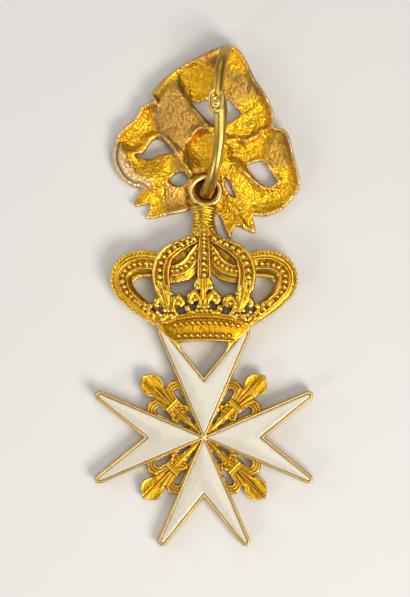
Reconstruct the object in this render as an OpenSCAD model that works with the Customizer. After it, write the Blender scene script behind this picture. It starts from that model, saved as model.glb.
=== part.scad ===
// Order badge: an enamelled Maltese cross with fleurs-de-lys in its angles, soldered under a
// pierced royal crown, hangs by a ring from a wire hook on the hollow back of a cast ribbon bow.
// It lies face down: +Z is the back of the badge, +Y runs from the cross up to the bow.
// Relief heights are measured from the badge's middle plane, and the bow's from its resting plane.

/* [Cross] */
// Distance from the centre of the cross to the ends of its arms
arm_reach = 18.2; // [17:0.1:19]
// Half the spread of an arm's two points
arm_spread = 7.3; // [6.8:0.1:7.5]
// Distance from the centre to the notch of an arm
arm_notch = 10; // [9:0.1:11]
// Half width of an arm where it leaves the centre
arm_root = 0.45; // [0.4:0.05:0.6]
// Thickness of the gold body of the cross
cross_t = 2.4; // [2.2:0.1:2.8]
// Width of the gold rim round each enamel field
rim_w = 0.36; // [0.3:0.02:0.45]
// Depth of the cells that hold the enamel
cell_d = 0.6; // [0.4:0.05:0.8]
// How far the enamel swells above its rim
enamel_rise = 0.15; // [0.05:0.05:0.2]
// Gap between the enamel and the walls of its cell
enamel_gap = 0.04; // [0.02:0.01:0.08]

/* [Fleurs-de-lys] */
// Distance from the centre of the cross to the tip of each fleur-de-lys
lily_reach = 14.6; // [14:0.1:15]
// Thickness of the fleurs-de-lys between the arms
lily_t = 1.1; // [0.8:0.1:1.4]

/* [Crown] */
// Depth of the crown's front arches, from face to face
crown_t = 3.8; // [3.4:0.1:4]
// Depth of the groove between an arch's raised borders
groove_d = 0.3; // [0.2:0.05:0.4]
// Width of an arch's raised border
border_w = 0.35; // [0.3:0.05:0.4]
// Radius of the beads on the arches
bead_r = 0.3; // [0.25:0.05:0.35]

/* [Ring and stem] */
// Outer diameter of the ring
ring_d = 5.6; // [5.4:0.1:5.8]
// Thickness of the ring's wire
ring_wire = 0.85; // [0.8:0.05:0.9]
// Height of the ring's middle plane above the resting plane
ring_z = 3; // [3:0.05:3.1]

/* [Bow] */
// Wall thickness of the hollow bow
bow_wall = 1; // [0.8:0.1:1]
// Height of the loops' raised rims above their hollows
bow_rim = 2.1; // [1.8:0.1:2.4]
// Spacing of the grid that carries the bow's relief
bow_grid = 1.1; // [0.8:0.1:1.5]

/* [Hook] */
// Width of the fixed wire arm
arm_wire_w = 1.85; // [1.7:0.05:2]
// Height of the wire arm above the resting plane
wire_top = 9.3; // [9.2:0.1:9.5]
// Diameter of the rivet that holds the hook to the arm's eye
rivet_d = 0.9; // [0.8:0.05:1]

/* [Hidden] */

// Places of the two pieces on the resting plane, and the slight tilt with which the cross leans
cross_at = [0, -23.7];
bow_at = [-0.2, 24.1];
ring_y = 41.4;
ring_x = 0.3;
rest_depth = cross_t / 2 + enamel_rise;
rest_y = arm_reach - rim_w;
pendant_tilt = asin((ring_z - rest_depth) / (ring_y + rest_y));
cross_z = rest_depth + rest_y * sin(pendant_tilt);
gold = [0.83, 0.6, 0.16];
dull_gold = [0.66, 0.53, 0.22];
white_enamel = [0.96, 0.95, 0.9];
eps = 0.01;

// Bow outline, from the top, round the left loop and the tails: x, y from the middle of the knot
BOW_OUTLINE = [
    [4.2, 17.8], [1.8, 17.1], [-0.5, 16], [-3.4, 14.4], [-5.9, 12.7], [-8.1, 10.4], [-8.7, 9.1],
    [-8.3, 8.3], [-10.1, 7.6], [-11.4, 5.5], [-13.8, 3.3], [-14.9, 1], [-15.1, -1.8], [-13.9, -4.4],
    [-12, -5.9], [-10.3, -6.4], [-11.2, -7.9], [-11.6, -9.2], [-10.4, -9.2], [-9, -8.7],
    [-9.2, -10.2], [-9.6, -11.3], [-7.2, -11], [-4, -10.3], [-1.6, -9.8], [1.2, -10], [2.7, -10.8],
    [3.5, -12.6], [4.5, -14.6], [5.2, -13], [5.8, -12.6], [7.2, -13.2], [8.8, -13.7], [8.7, -12.2],
    [8.4, -10.8], [10.5, -10.9], [13.2, -9.8], [15.3, -7.6], [16.3, -5.4], [15.3, -0.8],
    [14.4, 2.6], [13.4, 3.8], [11.9, 4.2], [11.8, 6.6], [10.6, 9.4], [8.7, 12.2], [7.5, 14.8],
    [6, 17]
];

// Openings through the bow: under the wire, left, lower left, right and the slit by the tail
BOW_WINDOWS = [
    [[-1.8, 8.5], [-0.7, 8.1], [1, 8.7], [2.7, 9.1], [4.2, 8.6], [5.4, 7.3], [6.3, 6.4],
        [5.3, 5.5], [3.4, 4.4], [2, 4.3], [0.3, 5.7], [-1.1, 7.2]],
    [[-11.3, -0.5], [-9.9, -0.3], [-8.9, 1.2], [-7.6, 2], [-6.4, 1.2], [-5.2, -0.2], [-7, -0.5],
        [-8.6, -1.2], [-10.2, -1.1]],
    [[-5.5, -4.9], [-4.6, -3.9], [-3.3, -3.6], [-2.5, -4.5], [-3.2, -5.5], [-4.4, -5.7]],
    [[7.4, -2.4], [9, -1.8], [10.2, -1.9], [11.4, -3.6], [12.3, -5.1], [10.9, -5.9], [9.4, -5],
        [8, -3.4]],
    [[3.7, -5], [4.4, -5], [5, -6.5], [5.3, -7.5], [4.2, -7.4], [3.8, -6.2]]
];

// Broad swells and hollows of the bow's back: x, y, half length, half width, turn, height
BOW_SWELLS = [
    [-2, 12, 3.2, 2.2, -40, -0.7],
    [-10.6, 5, 3.4, 1.6, 50, -0.7],
    [-13, 1.8, 1.5, 1.5, 0, -0.4],
    [7.1, 0.6, 3.4, 2, 10, -0.8],
    [9.9, 6.4, 1.4, 3, 0, -0.4],
    [-8, -2.9, 4.4, 1.3, -5, -0.5],
    [12.9, -7.2, 2.5, 1.4, 40, -0.5],
    [0, 0, 2.7, 3.2, 0, -1.5],
    [0.4, -6.8, 3.2, 3, 0, -2.2],
    [5.4, 13.2, 1.6, 3.4, 15, 0.4]
];

// Folds that stand up on the bow's back: from x, y to x, y, half width, height
BOW_FOLDS = [
    [-7.4, 10, -5.2, 7.2, 1.6, 0.9],
    [-5.2, 7.2, -3.4, 3, 1.4, 1],
    [-3.4, 3, -3, -1.4, 1, 0.9],
    [-9.6, 1.2, -7.8, 2.6, 0.7, 0.6],
    [-7.8, 2.6, -3, -2.6, 0.7, 0.6],
    [3.2, 2.6, 3, -2.6, 0.9, 0.8],
    [-2, 3.6, 2.4, 3.8, 0.9, 0.8],
    [5.5, 2.7, 11.4, 3.7, 0.8, 0.9],
    [10.8, -2, 12.6, -5, 0.7, 0.8],
    [7.2, -3, 10, -6, 0.7, 0.5],
    [3.6, -3.8, 7, -10, 0.8, 0.5]
];

// Fixed wire arm, from the bow's top rim to its eye: x, y from the knot, height of its middle
ARM_PATH = [
    [3.9, 17.3, 3.6], [3.5, 16.4, 5.3], [3.1, 15.3, 6.8], [2.8, 14, 7.8], [2.55, 12.6, 8.35],
    [2.4, 11.2, 8.6], [2.3, 10, 8.7], [2.25, 9.4, 8.75]
];

// Hook arm, from under the eye down through the ring: x, y, height of its middle, width, thickness
HOOK_PATH = [
    [2.75, 9.2, 7.75, 1.7, 1.1], [2.85, 8.2, 7.8, 2.2, 1.2], [3, 6.2, 7.8, 2.3, 1.3],
    [2.9, 3.7, 7.6, 2, 1.35], [2.7, 1.2, 7.15, 1.85, 1.35], [2.4, -1, 6.5, 1.75, 1.35],
    [2, -2.8, 5.7, 1.7, 1.3], [1.6, -4.2, 4.8, 1.6, 1.3], [1.15, -5.4, 3.8, 1.5, 1.25],
    [0.8, -6.2, 2.85, 1.4, 1.2], [0.55, -6.8, 2.05, 1.2, 1.1]
];
EYE_AT = [2.2, 8.2];
EYE_HALF = [1.1, 1.95];
EYE_T = 0.8;

// Half of the side arch: x, y from the cross's centre, width, half depth
SIDE_ARCH = [
    [7.4, 29, 3.6, 1.3], [9.3, 29.3, 3.9, 1.3], [11.2, 29.25, 3.9, 1.3], [12.8, 28.6, 3.8, 1.3],
    [13.7, 27.4, 3.7, 1.3], [13.8, 25.9, 3.6, 1.3], [13.2, 24.4, 3.4, 1.3], [11.9, 23, 3, 1.3],
    [10.4, 21.7, 2.7, 1.3], [8.9, 20.4, 2.3, 1.3], [7.5, 19.3, 1.9, 1.3]
];
// Half of the front arch, from the stem down to its lily
FRONT_ARCH = [
    [1.2, 33.3, 1.3, 0.76], [3.2, 32.5, 1.5, 0.84], [5, 31.8, 2, 0.92], [6.4, 30.7, 2.3, 0.97],
    [7.2, 29.2, 2.5, 1], [7.5, 27.6, 2.6, 1], [7.35, 26, 2.7, 1], [6.9, 24.4, 2.7, 0.97],
    [6.4, 22.9, 2.2, 0.92]
];
// Half of the far arch, seen inside the front one
FAR_ARCH = [
    [0.7, 31.9, 1.6, 1.15], [1.5, 30.7, 1.9, 1.15], [2.4, 29.3, 2, 1.15], [3.5, 28.4, 2, 1.15],
    [4.8, 27.9, 2, 1.15], [6.2, 27.8, 2, 1.15]
];
// Inner wall of the far arch, below its beaded face
FAR_WALL = [
    [1.2, 28.9, 1.4, 0.75], [2.2, 27.5, 1.6, 0.75], [3.6, 26.7, 1.6, 0.75], [5.6, 26.4, 1.6, 0.75]
];
// Stem: height above the cross's centre, half width; its depth is a share of its width
STEM = [
    [32.42, 3.45], [33.4, 3.1], [34, 2.75], [34.1, 2.55], [34.9, 2.35], [35, 2.15], [35.9, 2.15],
    [36, 1.95], [36.8, 1.95], [37, 2.1], [37.7, 2.1], [37.9, 2.5], [38.7, 2.5], [39.2, 2]
];
stem_depth_share = 0.56;
base_arc_rise = 1.3;
base_top_beads = 17;
base_low_beads = 13;
bead_rise = 0.25;
bead_sunk = 0.13;

// A fleur-de-lys between two arms, half outline along its axis: distance from the centre, half width
LILY_HALF = [
    [14.6, 0], [14.1, 0.7], [13.4, 1.6], [12.5, 2], [11.5, 1.8], [10.7, 1.3], [10.3, 1.3],
    [10.6, 1.9], [10.6, 2.7], [10.1, 3.4], [9.5, 3.9], [7.6, 3.3], [3, 1.35], [0.6, 0.4]
];
// Its openings, each a slot with round ends: from x, y, radius to x, y, radius
LILY_SLOTS = [
    [8.4, 2.15, 0.55, 6.3, 1.75, 0.25],
    [4.8, 1.05, 0.28, 2.9, 0.62, 0.15]
];

// Catmull-Rom curves through the rows of a table
function curve_at(a, b, c, d, t) =
    0.5 * (2 * b + (c - a) * t + (2 * a - 5 * b + 4 * c - d) * t * t
        + (3 * b - a - 3 * c + d) * t * t * t);
function smooth_open(p, steps) =
    let(n = len(p))
    [for (i = [0:n - 2], s = [0:steps - 1])
        curve_at(p[max(i - 1, 0)], p[i], p[i + 1], p[min(i + 2, n - 1)], s / steps),
     p[n - 1]];
function smooth_closed(p, steps) =
    let(n = len(p))
    [for (i = [0:n - 1], s = [0:steps - 1])
        curve_at(p[(i + n - 1) % n], p[i], p[(i + 1) % n], p[(i + 2) % n], s / steps)];

// Plane geometry: an outline moved inward, and distances to segments and outlines
function turn(a, b) = a.x * b.y - a.y * b.x;
function along(p, q) = (q - p) / norm(q - p);
function inset_corner(p, q, r, d) =
    let(u = along(p, q), v = along(q, r), a = q + d * [-u.y, u.x], b = q + d * [-v.y, v.x])
    a + u * turn(b - a, v) / turn(u, v);
function inset(outline, d) =
    let(n = len(outline))
    [for (i = [0:n - 1])
        inset_corner(outline[(i + n - 1) % n], outline[i], outline[(i + 1) % n], d)];
function off_segment(p, a, b) =
    let(t = max(0, min(1, (p - a) * (b - a) / ((b - a) * (b - a)))))
    norm(p - a - t * (b - a));
function off_outline(p, outline) =
    let(n = len(outline))
    min([for (i = [0:n - 1]) off_segment(p, outline[i], outline[(i + 1) % n])]);
function total(list) = list * [for (v = list) 1];
function fade(t) = let(s = max(0, min(1, t))) s * s * (3 - 2 * s);
function bell(t) = exp(-t * t);

// Height of the bow's back above the resting plane
function swell(p, row) =
    let(d = p - [row[0], row[1]], c = cos(row[4]), s = sin(row[4]),
        u = (d.x * c + d.y * s) / row[2], v = (d.y * c - d.x * s) / row[3])
    row[5] * bell(norm([u, v]));
function fold(p, row) =
    row[5] * bell(off_segment(p, [row[0], row[1]], [row[2], row[3]]) / row[4]);
function bow_height(p) =
    let(loops = fade((p.y + 9) / 5), clear_of_ring = 1 - bell(norm(p - [0.4, -6.8]) / 4),
        edge = bell(off_outline(p, BOW_OUTLINE) / 1.5))
    max(bow_wall, 1.25 + 0.9 * loops + edge * clear_of_ring * (0.35 + (bow_rim - 0.35) * loops)
        + total([for (row = BOW_SWELLS) swell(p, row)])
        + clear_of_ring * total([for (row = BOW_FOLDS) fold(p, row)]));

// Solid between rings of points, each ring with the same number of points
module skin(rings) {
    n = len(rings[0]);
    last = len(rings) - 1;
    points = [for (ring = rings) each ring];
    corners = [for (i = [0:last - 1], j = [0:n - 1]) [i * n + j, i * n + (j + 1) % n, n]];
    start = [for (j = [n - 1:-1:0]) j];
    end = [for (j = [0:n - 1]) last * n + j];
    polyhedron(points, concat(
        [for (c = corners) [c[0], c[1], c[1] + n]],
        [for (c = corners) [c[0], c[1] + n, c[0] + n]],
        [start, end]));
}

// Block of relief under the bow's outline, open to neither side
module relief_block(x0, x1, y0, y1) {
    nx = ceil((x1 - x0) / bow_grid);
    ny = ceil((y1 - y0) / bow_grid);
    grid = [for (j = [0:ny], i = [0:nx])
        let(p = [x0 + (x1 - x0) * i / nx, y0 + (y1 - y0) * j / ny]) [p.x, p.y, bow_height(p)]];
    count = len(grid);
    row = nx + 1;
    cells = [for (j = [0:ny - 1], i = [0:nx - 1]) j * row + i];
    edge = concat([for (i = [0:nx - 1]) i], [for (j = [0:ny - 1]) j * row + nx],
        [for (i = [nx:-1:1]) ny * row + i], [for (j = [ny:-1:1]) j * row]);
    m = len(edge);
    polyhedron(
        concat(grid, [for (q = grid) [q.x, q.y, q.z - bow_wall]]),
        concat(
            [for (k = cells) [k, k + row, k + row + 1]], [for (k = cells) [k, k + row + 1, k + 1]],
            [for (k = cells) [count + k, count + k + row + 1, count + k + row]],
            [for (k = cells) [count + k, count + k + 1, count + k + row + 1]],
            [for (k = [0:m - 1])
                [edge[k], edge[(k + 1) % m], count + edge[(k + 1) % m], count + edge[k]]]));
}

// Wire between the rows of a path of x, y, z, width, thickness
module wire(path) {
    last = len(path) - 1;
    for (i = [0:last - 1])
        hull() {
            wire_section(path, i);
            wire_section(path, i + 1);
        }
}
module wire_section(path, i) {
    last = len(path) - 1;
    row = path[i];
    d = path[min(i + 1, last)] - path[max(i - 1, 0)];
    translate([row[0], row[1], row[2]])
        rotate([0, 0, atan2(d[1], d[0])])
        rotate([0, -atan2(d[2], norm([d[0], d[1]])), 0])
        rotate([90, 0, 90])
        linear_extrude(eps, center = true)
        scale([row[3], row[4]])
        circle(d = 1, $fn = 14);
}

// Hollow back of the bow with its soldered arm, which ends in an eye
module bow() color(gold)
    translate([bow_at.x, bow_at.y, 0]) {
        intersection() {
            relief_block(-16, 17.2, -15.5, 18.6);
            translate([0, 0, -1])
                linear_extrude(10)
                difference() {
                    polygon(smooth_closed(BOW_OUTLINE, 2));
                    for (window = BOW_WINDOWS) polygon(smooth_closed(window, 2));
                }
        }
        wire([for (p = ARM_PATH) [p.x, p.y, p.z, arm_wire_w, arm_wire_w * 0.8]]);
        difference() {
            eye_plate(EYE_HALF, wire_top - EYE_T, EYE_T);
            eye_plate(EYE_HALF - [0.3, 0.3], wire_top - 0.15, 1);
            translate([EYE_AT.x, EYE_AT.y, 0]) cylinder(d = rivet_d + 0.2, h = 20, $fn = 20);
        }
    }
module eye_plate(half, z, t)
    translate([EYE_AT.x, EYE_AT.y, z])
    linear_extrude(t)
    scale([half.x, half.y])
    circle(r = 1, $fn = 24);

// Hook arm with the rivet that holds it under the eye
module hook() color(dull_gold)
    translate([bow_at.x, bow_at.y, 0]) {
        wire(HOOK_PATH);
        translate([EYE_AT.x, EYE_AT.y, 0]) {
            translate([0, 0, 7.8]) cylinder(d = rivet_d, h = wire_top - 7.8, $fn = 16);
            translate([0, 0, wire_top - 0.1]) cylinder(d1 = 1.4, d2 = 0.9, h = 0.3, $fn = 16);
        }
    }

// Outline of an arm that points to +X, run counter-clockwise
function arm_outline() = [
    [arm_root, -arm_root], [arm_reach - 1, -arm_spread - 0.4], [arm_reach, -arm_spread],
    [arm_reach - 0.1, -arm_spread + 0.8], [arm_notch, 0], [arm_reach - 0.1, arm_spread - 0.8],
    [arm_reach, arm_spread], [arm_reach - 1, arm_spread + 0.4], [arm_root, arm_root]
];

// Gold body of the cross with an enamel cell in both faces of each arm
module cross_body() {
    for (quarter = [0:3])
        rotate(quarter * 90)
        difference() {
            linear_extrude(cross_t, center = true) polygon(arm_outline());
            for (face = [0, 1])
                mirror([0, 0, face])
                translate([0, 0, cross_t / 2 - cell_d])
                linear_extrude(cell_d + 1)
                polygon(inset(arm_outline(), rim_w));
        }
    for (face = [0, 1])
        mirror([0, 0, face]) cylinder(d1 = 1.5, d2 = 0.8, h = cross_t / 2 + 0.2, $fn = 12);
    linear_extrude(cross_t, center = true) square(1.25, center = true);
}

// One enamel field, of the arm turned by quarter, on the back or the front face
module enamel(quarter, face) color(white_enamel)
    place_pendant()
    rotate(quarter * 90)
    mirror([0, 0, face]) {
        translate([0, 0, cross_t / 2 - cell_d + enamel_gap])
            linear_extrude(cell_d - enamel_gap)
            polygon(inset(arm_outline(), rim_w + enamel_gap));
        translate([0, 0, cross_t / 2])
            linear_extrude(enamel_rise)
            polygon(inset(arm_outline(), rim_w + enamel_gap + 0.15));
    }

// Fleur-de-lys in the angle between two arms, along +X, with its midrib and tie bar
module lily() {
    half = [for (p = smooth_open(LILY_HALF, 2)) [p.x * lily_reach / 14.6, p.y]];
    outline = concat(half, [for (i = [len(half) - 1:-1:1]) [half[i].x, -half[i].y]]);
    difference() {
        linear_extrude(lily_t, center = true) polygon(outline);
        for (side = [-1, 1], slot = LILY_SLOTS)
            hull() {
                translate([slot[0], side * slot[1]])
                    cylinder(r = slot[2], h = 4, center = true, $fn = 10);
                translate([slot[3], side * slot[4]])
                    cylinder(r = slot[5], h = 4, center = true, $fn = 10);
            }
    }
    hull() {
        translate([13.6, 0, 0]) cube([0.4, 0.2, lily_t + 0.3], center = true);
        translate([9, 0, 0]) cube([0.4, 0.5, lily_t + 0.5], center = true);
    }
    translate([7.7, 0, 0]) cube([0.8, 2.6, lily_t + 0.6], center = true);
    hull() {
        translate([7.4, 0, 0]) cube([0.2, 1, lily_t + 0.4], center = true);
        translate([2, 0, 0]) cube([0.2, 0.3, lily_t + 0.2], center = true);
    }
}

// Strip of the crown: a band with a raised border along each edge, on both faces
function strip_section(p, side, w, h) =
    let(b = border_w, g = groove_d,
        section = [[-w, -h], [-w, h], [-w + b, h], [-w + b, h - g], [w - b, h - g], [w - b, h],
            [w, h], [w, -h], [w - b, -h], [w - b, g - h], [b - w, g - h], [b - w, -h]])
    [for (q = section) [p.x + side.x * q.x, p.y + side.y * q.x, q.y]];
module strip(rows) {
    last = len(rows) - 1;
    skin([for (i = [0:last])
        let(a = rows[max(i - 1, 0)], b = rows[min(i + 1, last)], u = along([a[0], a[1]], [b[0], b[1]]))
        strip_section([rows[i][0], rows[i][1]], [-u.y, u.x], rows[i][2] / 2, rows[i][3])]);
}

// Row of beads along a strip's groove, moved sideways by shift times its half width
module beads(rows, count, from, to, shift = 0) {
    last = len(rows) - 1;
    for (k = [0:count - 1]) {
        t = (from + (to - from) * k / (count - 1)) * last;
        i = min(floor(t), last - 1);
        row = curve_at(rows[max(i - 1, 0)], rows[i], rows[i + 1], rows[min(i + 2, last)], t - i);
        u = along([rows[i][0], rows[i][1]], [rows[i + 1][0], rows[i + 1][1]]);
        bead([row[0] + u.y * shift * row[2] / 2, row[1] - u.x * shift * row[2] / 2, row[3] - groove_d]);
    }
}
module bead(at)
    translate([at.x, at.y, at.z - bead_sunk])
    cylinder(r1 = bead_r, r2 = bead_r / 2, h = bead_rise + bead_sunk, $fn = 6);

// Lily that stands on the base band: petal, two curled petals, tie bar and foot
module base_lily(half_depth, lean, wide) {
    depth = 2 * half_depth;
    rotate(lean) {
        hull() {
            translate([0, 3.7, 0]) cylinder(r = 0.35, h = depth, center = true, $fn = 8);
            translate([0, 1.9, 0]) cylinder(r = 0.75, h = depth, center = true, $fn = 8);
        }
        hull() {
            translate([0, 1.9, 0]) cylinder(r = 0.7, h = depth - 0.3, center = true, $fn = 8);
            cylinder(r = 0.5, h = depth - 0.3, center = true, $fn = 8);
        }
        for (side = [-1, 1])
            hull() {
                translate([side * wide, 2.5, 0])
                    cylinder(r = 0.85, h = depth - 0.2, center = true, $fn = 12);
                translate([side * 0.6, 1.5, 0])
                    cylinder(r = 0.4, h = depth - 0.5, center = true, $fn = 8);
            }
        translate([0, 1.05, 0]) cube([2 * wide - 0.6, 0.5, depth], center = true);
        for (side = [-1, 1])
            hull() {
                translate([side * wide, 0.6, 0])
                    cylinder(r = 0.4, h = depth - 0.5, center = true, $fn = 8);
                translate([side * 0.6, 0, 0])
                    cylinder(r = 0.3, h = depth - 0.5, center = true, $fn = 8);
            }
    }
}

// Base band with its two rows of beads, and the solder that joins it to the cross
module base_band(half_depth) {
    columns = 12;
    reach = 7.6;
    rings = [for (i = [0:columns])
        let(x = reach * (2 * i / columns - 1), share = x / reach, bow_in = share * share,
            top = 20.75 - base_arc_rise * bow_in - 0.2 * pow(share, 8),
            low = 16.5 - 0.4 * bow_in + 1.9 * fade((abs(x) - 3.6) / 4),
            h = half_depth * (1 - 0.2 * bow_in))
        [[x, top, -h], [x, top, h], [x, top - 0.5, h], [x, top - 0.6, h - 0.25],
            [x, low + 0.35, h - 0.25], [x, low + 0.25, h], [x, low, h],
            [x, low, -h], [x, low + 0.25, -h], [x, low + 0.35, 0.25 - h],
            [x, top - 0.6, 0.25 - h], [x, top - 0.5, -h]]];
    skin([for (ring = rings) [for (k = [len(ring) - 1:-1:0]) ring[k]]]);
    for (k = [0:base_top_beads - 1]) {
        x = -6.9 + 13.8 * k / (base_top_beads - 1);
        bead([x, 19.3 - 0.3 * x * x / 48, half_depth * (1 - 0.2 * x * x / 62) - 0.25]);
    }
    for (k = [0:base_low_beads - 1]) {
        x = -3.9 + 7.8 * k / (base_low_beads - 1);
        bead([x, 17.3, half_depth * (1 - 0.2 * x * x / 62) - 0.25]);
    }
    for (side = [-1, 1])
        hull() {
            translate([side * 5.44, 17.2, 0]) cylinder(r = 0.4, h = cross_t, center = true, $fn = 10);
            translate([side * 3.87, 15.2, 0]) cylinder(r = 0.3, h = cross_t, center = true, $fn = 10);
            translate([side * 4, 16.6, 0]) cylinder(r = 0.4, h = 2.9, center = true, $fn = 10);
        }
}

// Pierced crown: far arches, side arches, front arches, middle arch, lilies and base band
module crown() {
    h = crown_t / 2;
    front = [for (row = FRONT_ARCH) [row[0], row[1], row[2], row[3] * h]];
    middle = [[0, 33, 1.9, 0.8 * h], [0, 30, 2.1, 0.95 * h], [0, 26.4, 2.2, h]];
    for (side = [0, 1])
        mirror([side, 0, 0]) {
            strip(FAR_WALL);
            strip(FAR_ARCH);
            strip(SIDE_ARCH);
            strip(front);
            beads(FAR_ARCH, 6, 0.15, 0.85);
            beads(SIDE_ARCH, 12, 0.12, 0.92, 0.2);
            beads(front, 9, 0.12, 0.68, -0.1);
            translate([6, 20.4, 0]) base_lily(h - 0.15, -7, 1.8);
        }
    strip(middle);
    beads(middle, 7, 0.05, 0.95);
    hull() {
        translate([0, 26.6, 0]) cube([2.2, 0.2, 2 * h], center = true);
        translate([0, 25.2, 0]) cube([3.5, 1.2, 2 * h - 0.3], center = true);
    }
    translate([0, 20.8, 0]) base_lily(h, 0, 2.15);
    base_band(h - 0.15);
}

// Ribbed stem and the ring that it carries
module stem_and_ring() {
    scale([1, 1, stem_depth_share])
        rotate([-90, 0, 0])
        rotate_extrude($fn = 18)
        polygon(concat([[0, STEM[0][0]]], [for (row = STEM) [row[1], row[0]]],
            [[0, STEM[len(STEM) - 1][0]]]));
    translate([ring_x, ring_y, 0])
        rotate_extrude($fn = 28)
        translate([(ring_d - ring_wire) / 2, 0])
        circle(d = ring_wire, $fn = 10);
}

module place_pendant()
    translate([cross_at.x, cross_at.y, cross_z])
    rotate([pendant_tilt, 0, 0])
    children();

// Cross, fleurs-de-lys, crown, stem and ring, soldered into one piece
module crown_and_cross() color(gold)
    place_pendant() {
        cross_body();
        for (quarter = [0:3]) rotate(45 + quarter * 90) lily();
        crown();
        stem_and_ring();
    }

bow();
hook();
crown_and_cross();
enamel(0, 0);  // enamel_right_back
enamel(1, 0);  // enamel_top_back
enamel(2, 0);  // enamel_left_back
enamel(3, 0);  // enamel_bottom_back
enamel(0, 1);  // enamel_right_front
enamel(1, 1);  // enamel_top_front
enamel(2, 1);  // enamel_left_front
enamel(3, 1);  // enamel_bottom_front
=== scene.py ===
"""Looks of an order badge that lies face down: a cast ribbon bow with a wire hook, and a crowned
Maltese cross with fleurs-de-lys. Shapes are worked out in millimetres, in the CAD's frame.
Relief pieces are unions of height maps on a fine grid, turned into a smooth skin by surface nets."""

import math

import bpy
import numpy as np
from mathutils import Matrix, Vector


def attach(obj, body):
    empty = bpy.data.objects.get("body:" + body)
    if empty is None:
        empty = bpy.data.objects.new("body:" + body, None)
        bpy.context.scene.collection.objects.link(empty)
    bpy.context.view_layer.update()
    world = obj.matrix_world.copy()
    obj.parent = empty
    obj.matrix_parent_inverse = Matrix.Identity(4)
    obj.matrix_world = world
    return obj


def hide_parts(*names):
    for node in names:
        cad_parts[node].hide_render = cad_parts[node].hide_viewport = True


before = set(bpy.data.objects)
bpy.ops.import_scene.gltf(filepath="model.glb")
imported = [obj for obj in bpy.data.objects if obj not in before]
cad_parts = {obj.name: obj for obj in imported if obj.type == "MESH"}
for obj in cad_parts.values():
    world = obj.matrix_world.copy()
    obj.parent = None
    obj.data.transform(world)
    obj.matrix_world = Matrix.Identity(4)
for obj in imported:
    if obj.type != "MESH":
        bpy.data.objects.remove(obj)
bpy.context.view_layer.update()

MM = 0.001
ROOT = "root"

# Places of the two pieces, as in the CAD: x, y, and the lean of the cross and crown
BOW_AT = (-0.2, 24.1)
CROSS_AT = (0.0, -23.7)
CROSS_T = 2.4
ARM_REACH = 18.2
ARM_SPREAD = 7.3
ARM_NOTCH = 10.0
ARM_ROOT = 0.45
RIM_W = 0.36
RIM_FLARE = 0.08
CELL_D = 0.6
ENAMEL_RISE = 0.15
ENAMEL_GAP = 0.04
ENAMEL_TIP = 0.36
RING_AT = (0.3, 41.4)
RING_Z = 3.0
REST_DEPTH = CROSS_T / 2 + ENAMEL_RISE
REST_Y = ARM_REACH - RIM_W
TILT = math.asin((RING_Z - REST_DEPTH) / (RING_AT[1] + REST_Y))
CROSS_Z = REST_DEPTH + REST_Y * math.sin(TILT)
PENDANT = Matrix.Translation(Vector((*CROSS_AT, CROSS_Z))) @ Matrix.Rotation(TILT, 4, "X")
BOW_PLACE = Matrix.Translation(Vector((*BOW_AT, 0)))


# curves, noise and distances

def curve(rows, steps, closed=False):
    """Catmull-Rom curve through the rows of a table, all columns alike."""
    p = np.asarray(rows, float)
    p = np.vstack([p[-1:], p, p[:2]] if closed else [p[:1], p, p[-1:]])
    t = (np.arange(steps) / steps)[:, None]
    spans = [0.5 * (2 * b + (c - a) * t + (2 * a - 5 * b + 4 * c - d) * t * t
                    + (3 * b - a - 3 * c + d) * t ** 3)
             for a, b, c, d in zip(p, p[1:], p[2:], p[3:])]
    return np.vstack(spans if closed else spans + [p[-1:]])


def fade(t):
    s = np.clip(t, 0, 1)
    return s * s * (3 - 2 * s)


def bell(t):
    return np.exp(-t * t)


def blend(a, b, share):
    return a * (1 - share) + b * share


def away(X, Y, at):
    return np.hypot(X - at[0], Y - at[1])


def follow(X, Y, rows):
    """At each place: distance to a path, signed offset from it (left is +), length run, other columns."""
    rows = np.asarray(rows, float)
    best = np.full(X.shape, 1e9)
    off, run = np.zeros(X.shape), np.zeros(X.shape)
    extra = [np.zeros(X.shape) for _ in range(rows.shape[1] - 2)]
    length = 0.0
    for a, b in zip(rows[:-1], rows[1:]):
        d = b[:2] - a[:2]
        n = math.hypot(*d)
        px, py = X - a[0], Y - a[1]
        t = np.clip((px * d[0] + py * d[1]) / (n * n), 0, 1)
        dist = np.hypot(px - t * d[0], py - t * d[1])
        near = dist < best
        best[near] = dist[near]
        off[near] = (np.sign(d[0] * py - d[1] * px) * dist)[near]
        run[near] = (length + t * n)[near]
        for k, column in enumerate(extra):
            column[near] = (a[k + 2] + t * (b[k + 2] - a[k + 2]))[near]
        length += n
    return best, off, run, extra


def outline_distance(X, Y, points):
    """Distance to a closed outline, negative inside."""
    points = np.asarray(points, float)
    ring = np.vstack([points, points[:1]])
    best = follow(X, Y, ring)[0]
    inside = np.zeros(X.shape, bool)
    for a, b in zip(ring[:-1], ring[1:]):
        crosses = (a[1] > Y) != (b[1] > Y)
        if a[1] != b[1]:
            at = a[0] + (Y - a[1]) / (b[1] - a[1]) * (b[0] - a[0])
            inside ^= crosses & (X < at)
    return np.where(inside, -best, best)


LATTICE = 128
LATTICE_SHIFT = (1000.5, 1000.25)
# Each octave of a grain is smaller and weaker than the one before
OCTAVE_STEP = 1.9
OCTAVE_SHARE = 0.6


def noise(X, Y, size, seed):
    """Smooth random heights, -1 to 1, with lumps of the given size."""
    lattice = np.random.default_rng(seed).uniform(-1, 1, (LATTICE, LATTICE))
    u, v = X / size + LATTICE_SHIFT[0], Y / size + LATTICE_SHIFT[1]
    i, j = np.floor(u).astype(int), np.floor(v).astype(int)
    s, t = fade(u - i), fade(v - j)

    def at(a, b):
        return lattice[(i + a) % LATTICE, (j + b) % LATTICE]

    return ((at(0, 0) * (1 - s) + at(1, 0) * s) * (1 - t)
            + (at(0, 1) * (1 - s) + at(1, 1) * s) * t)


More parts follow.
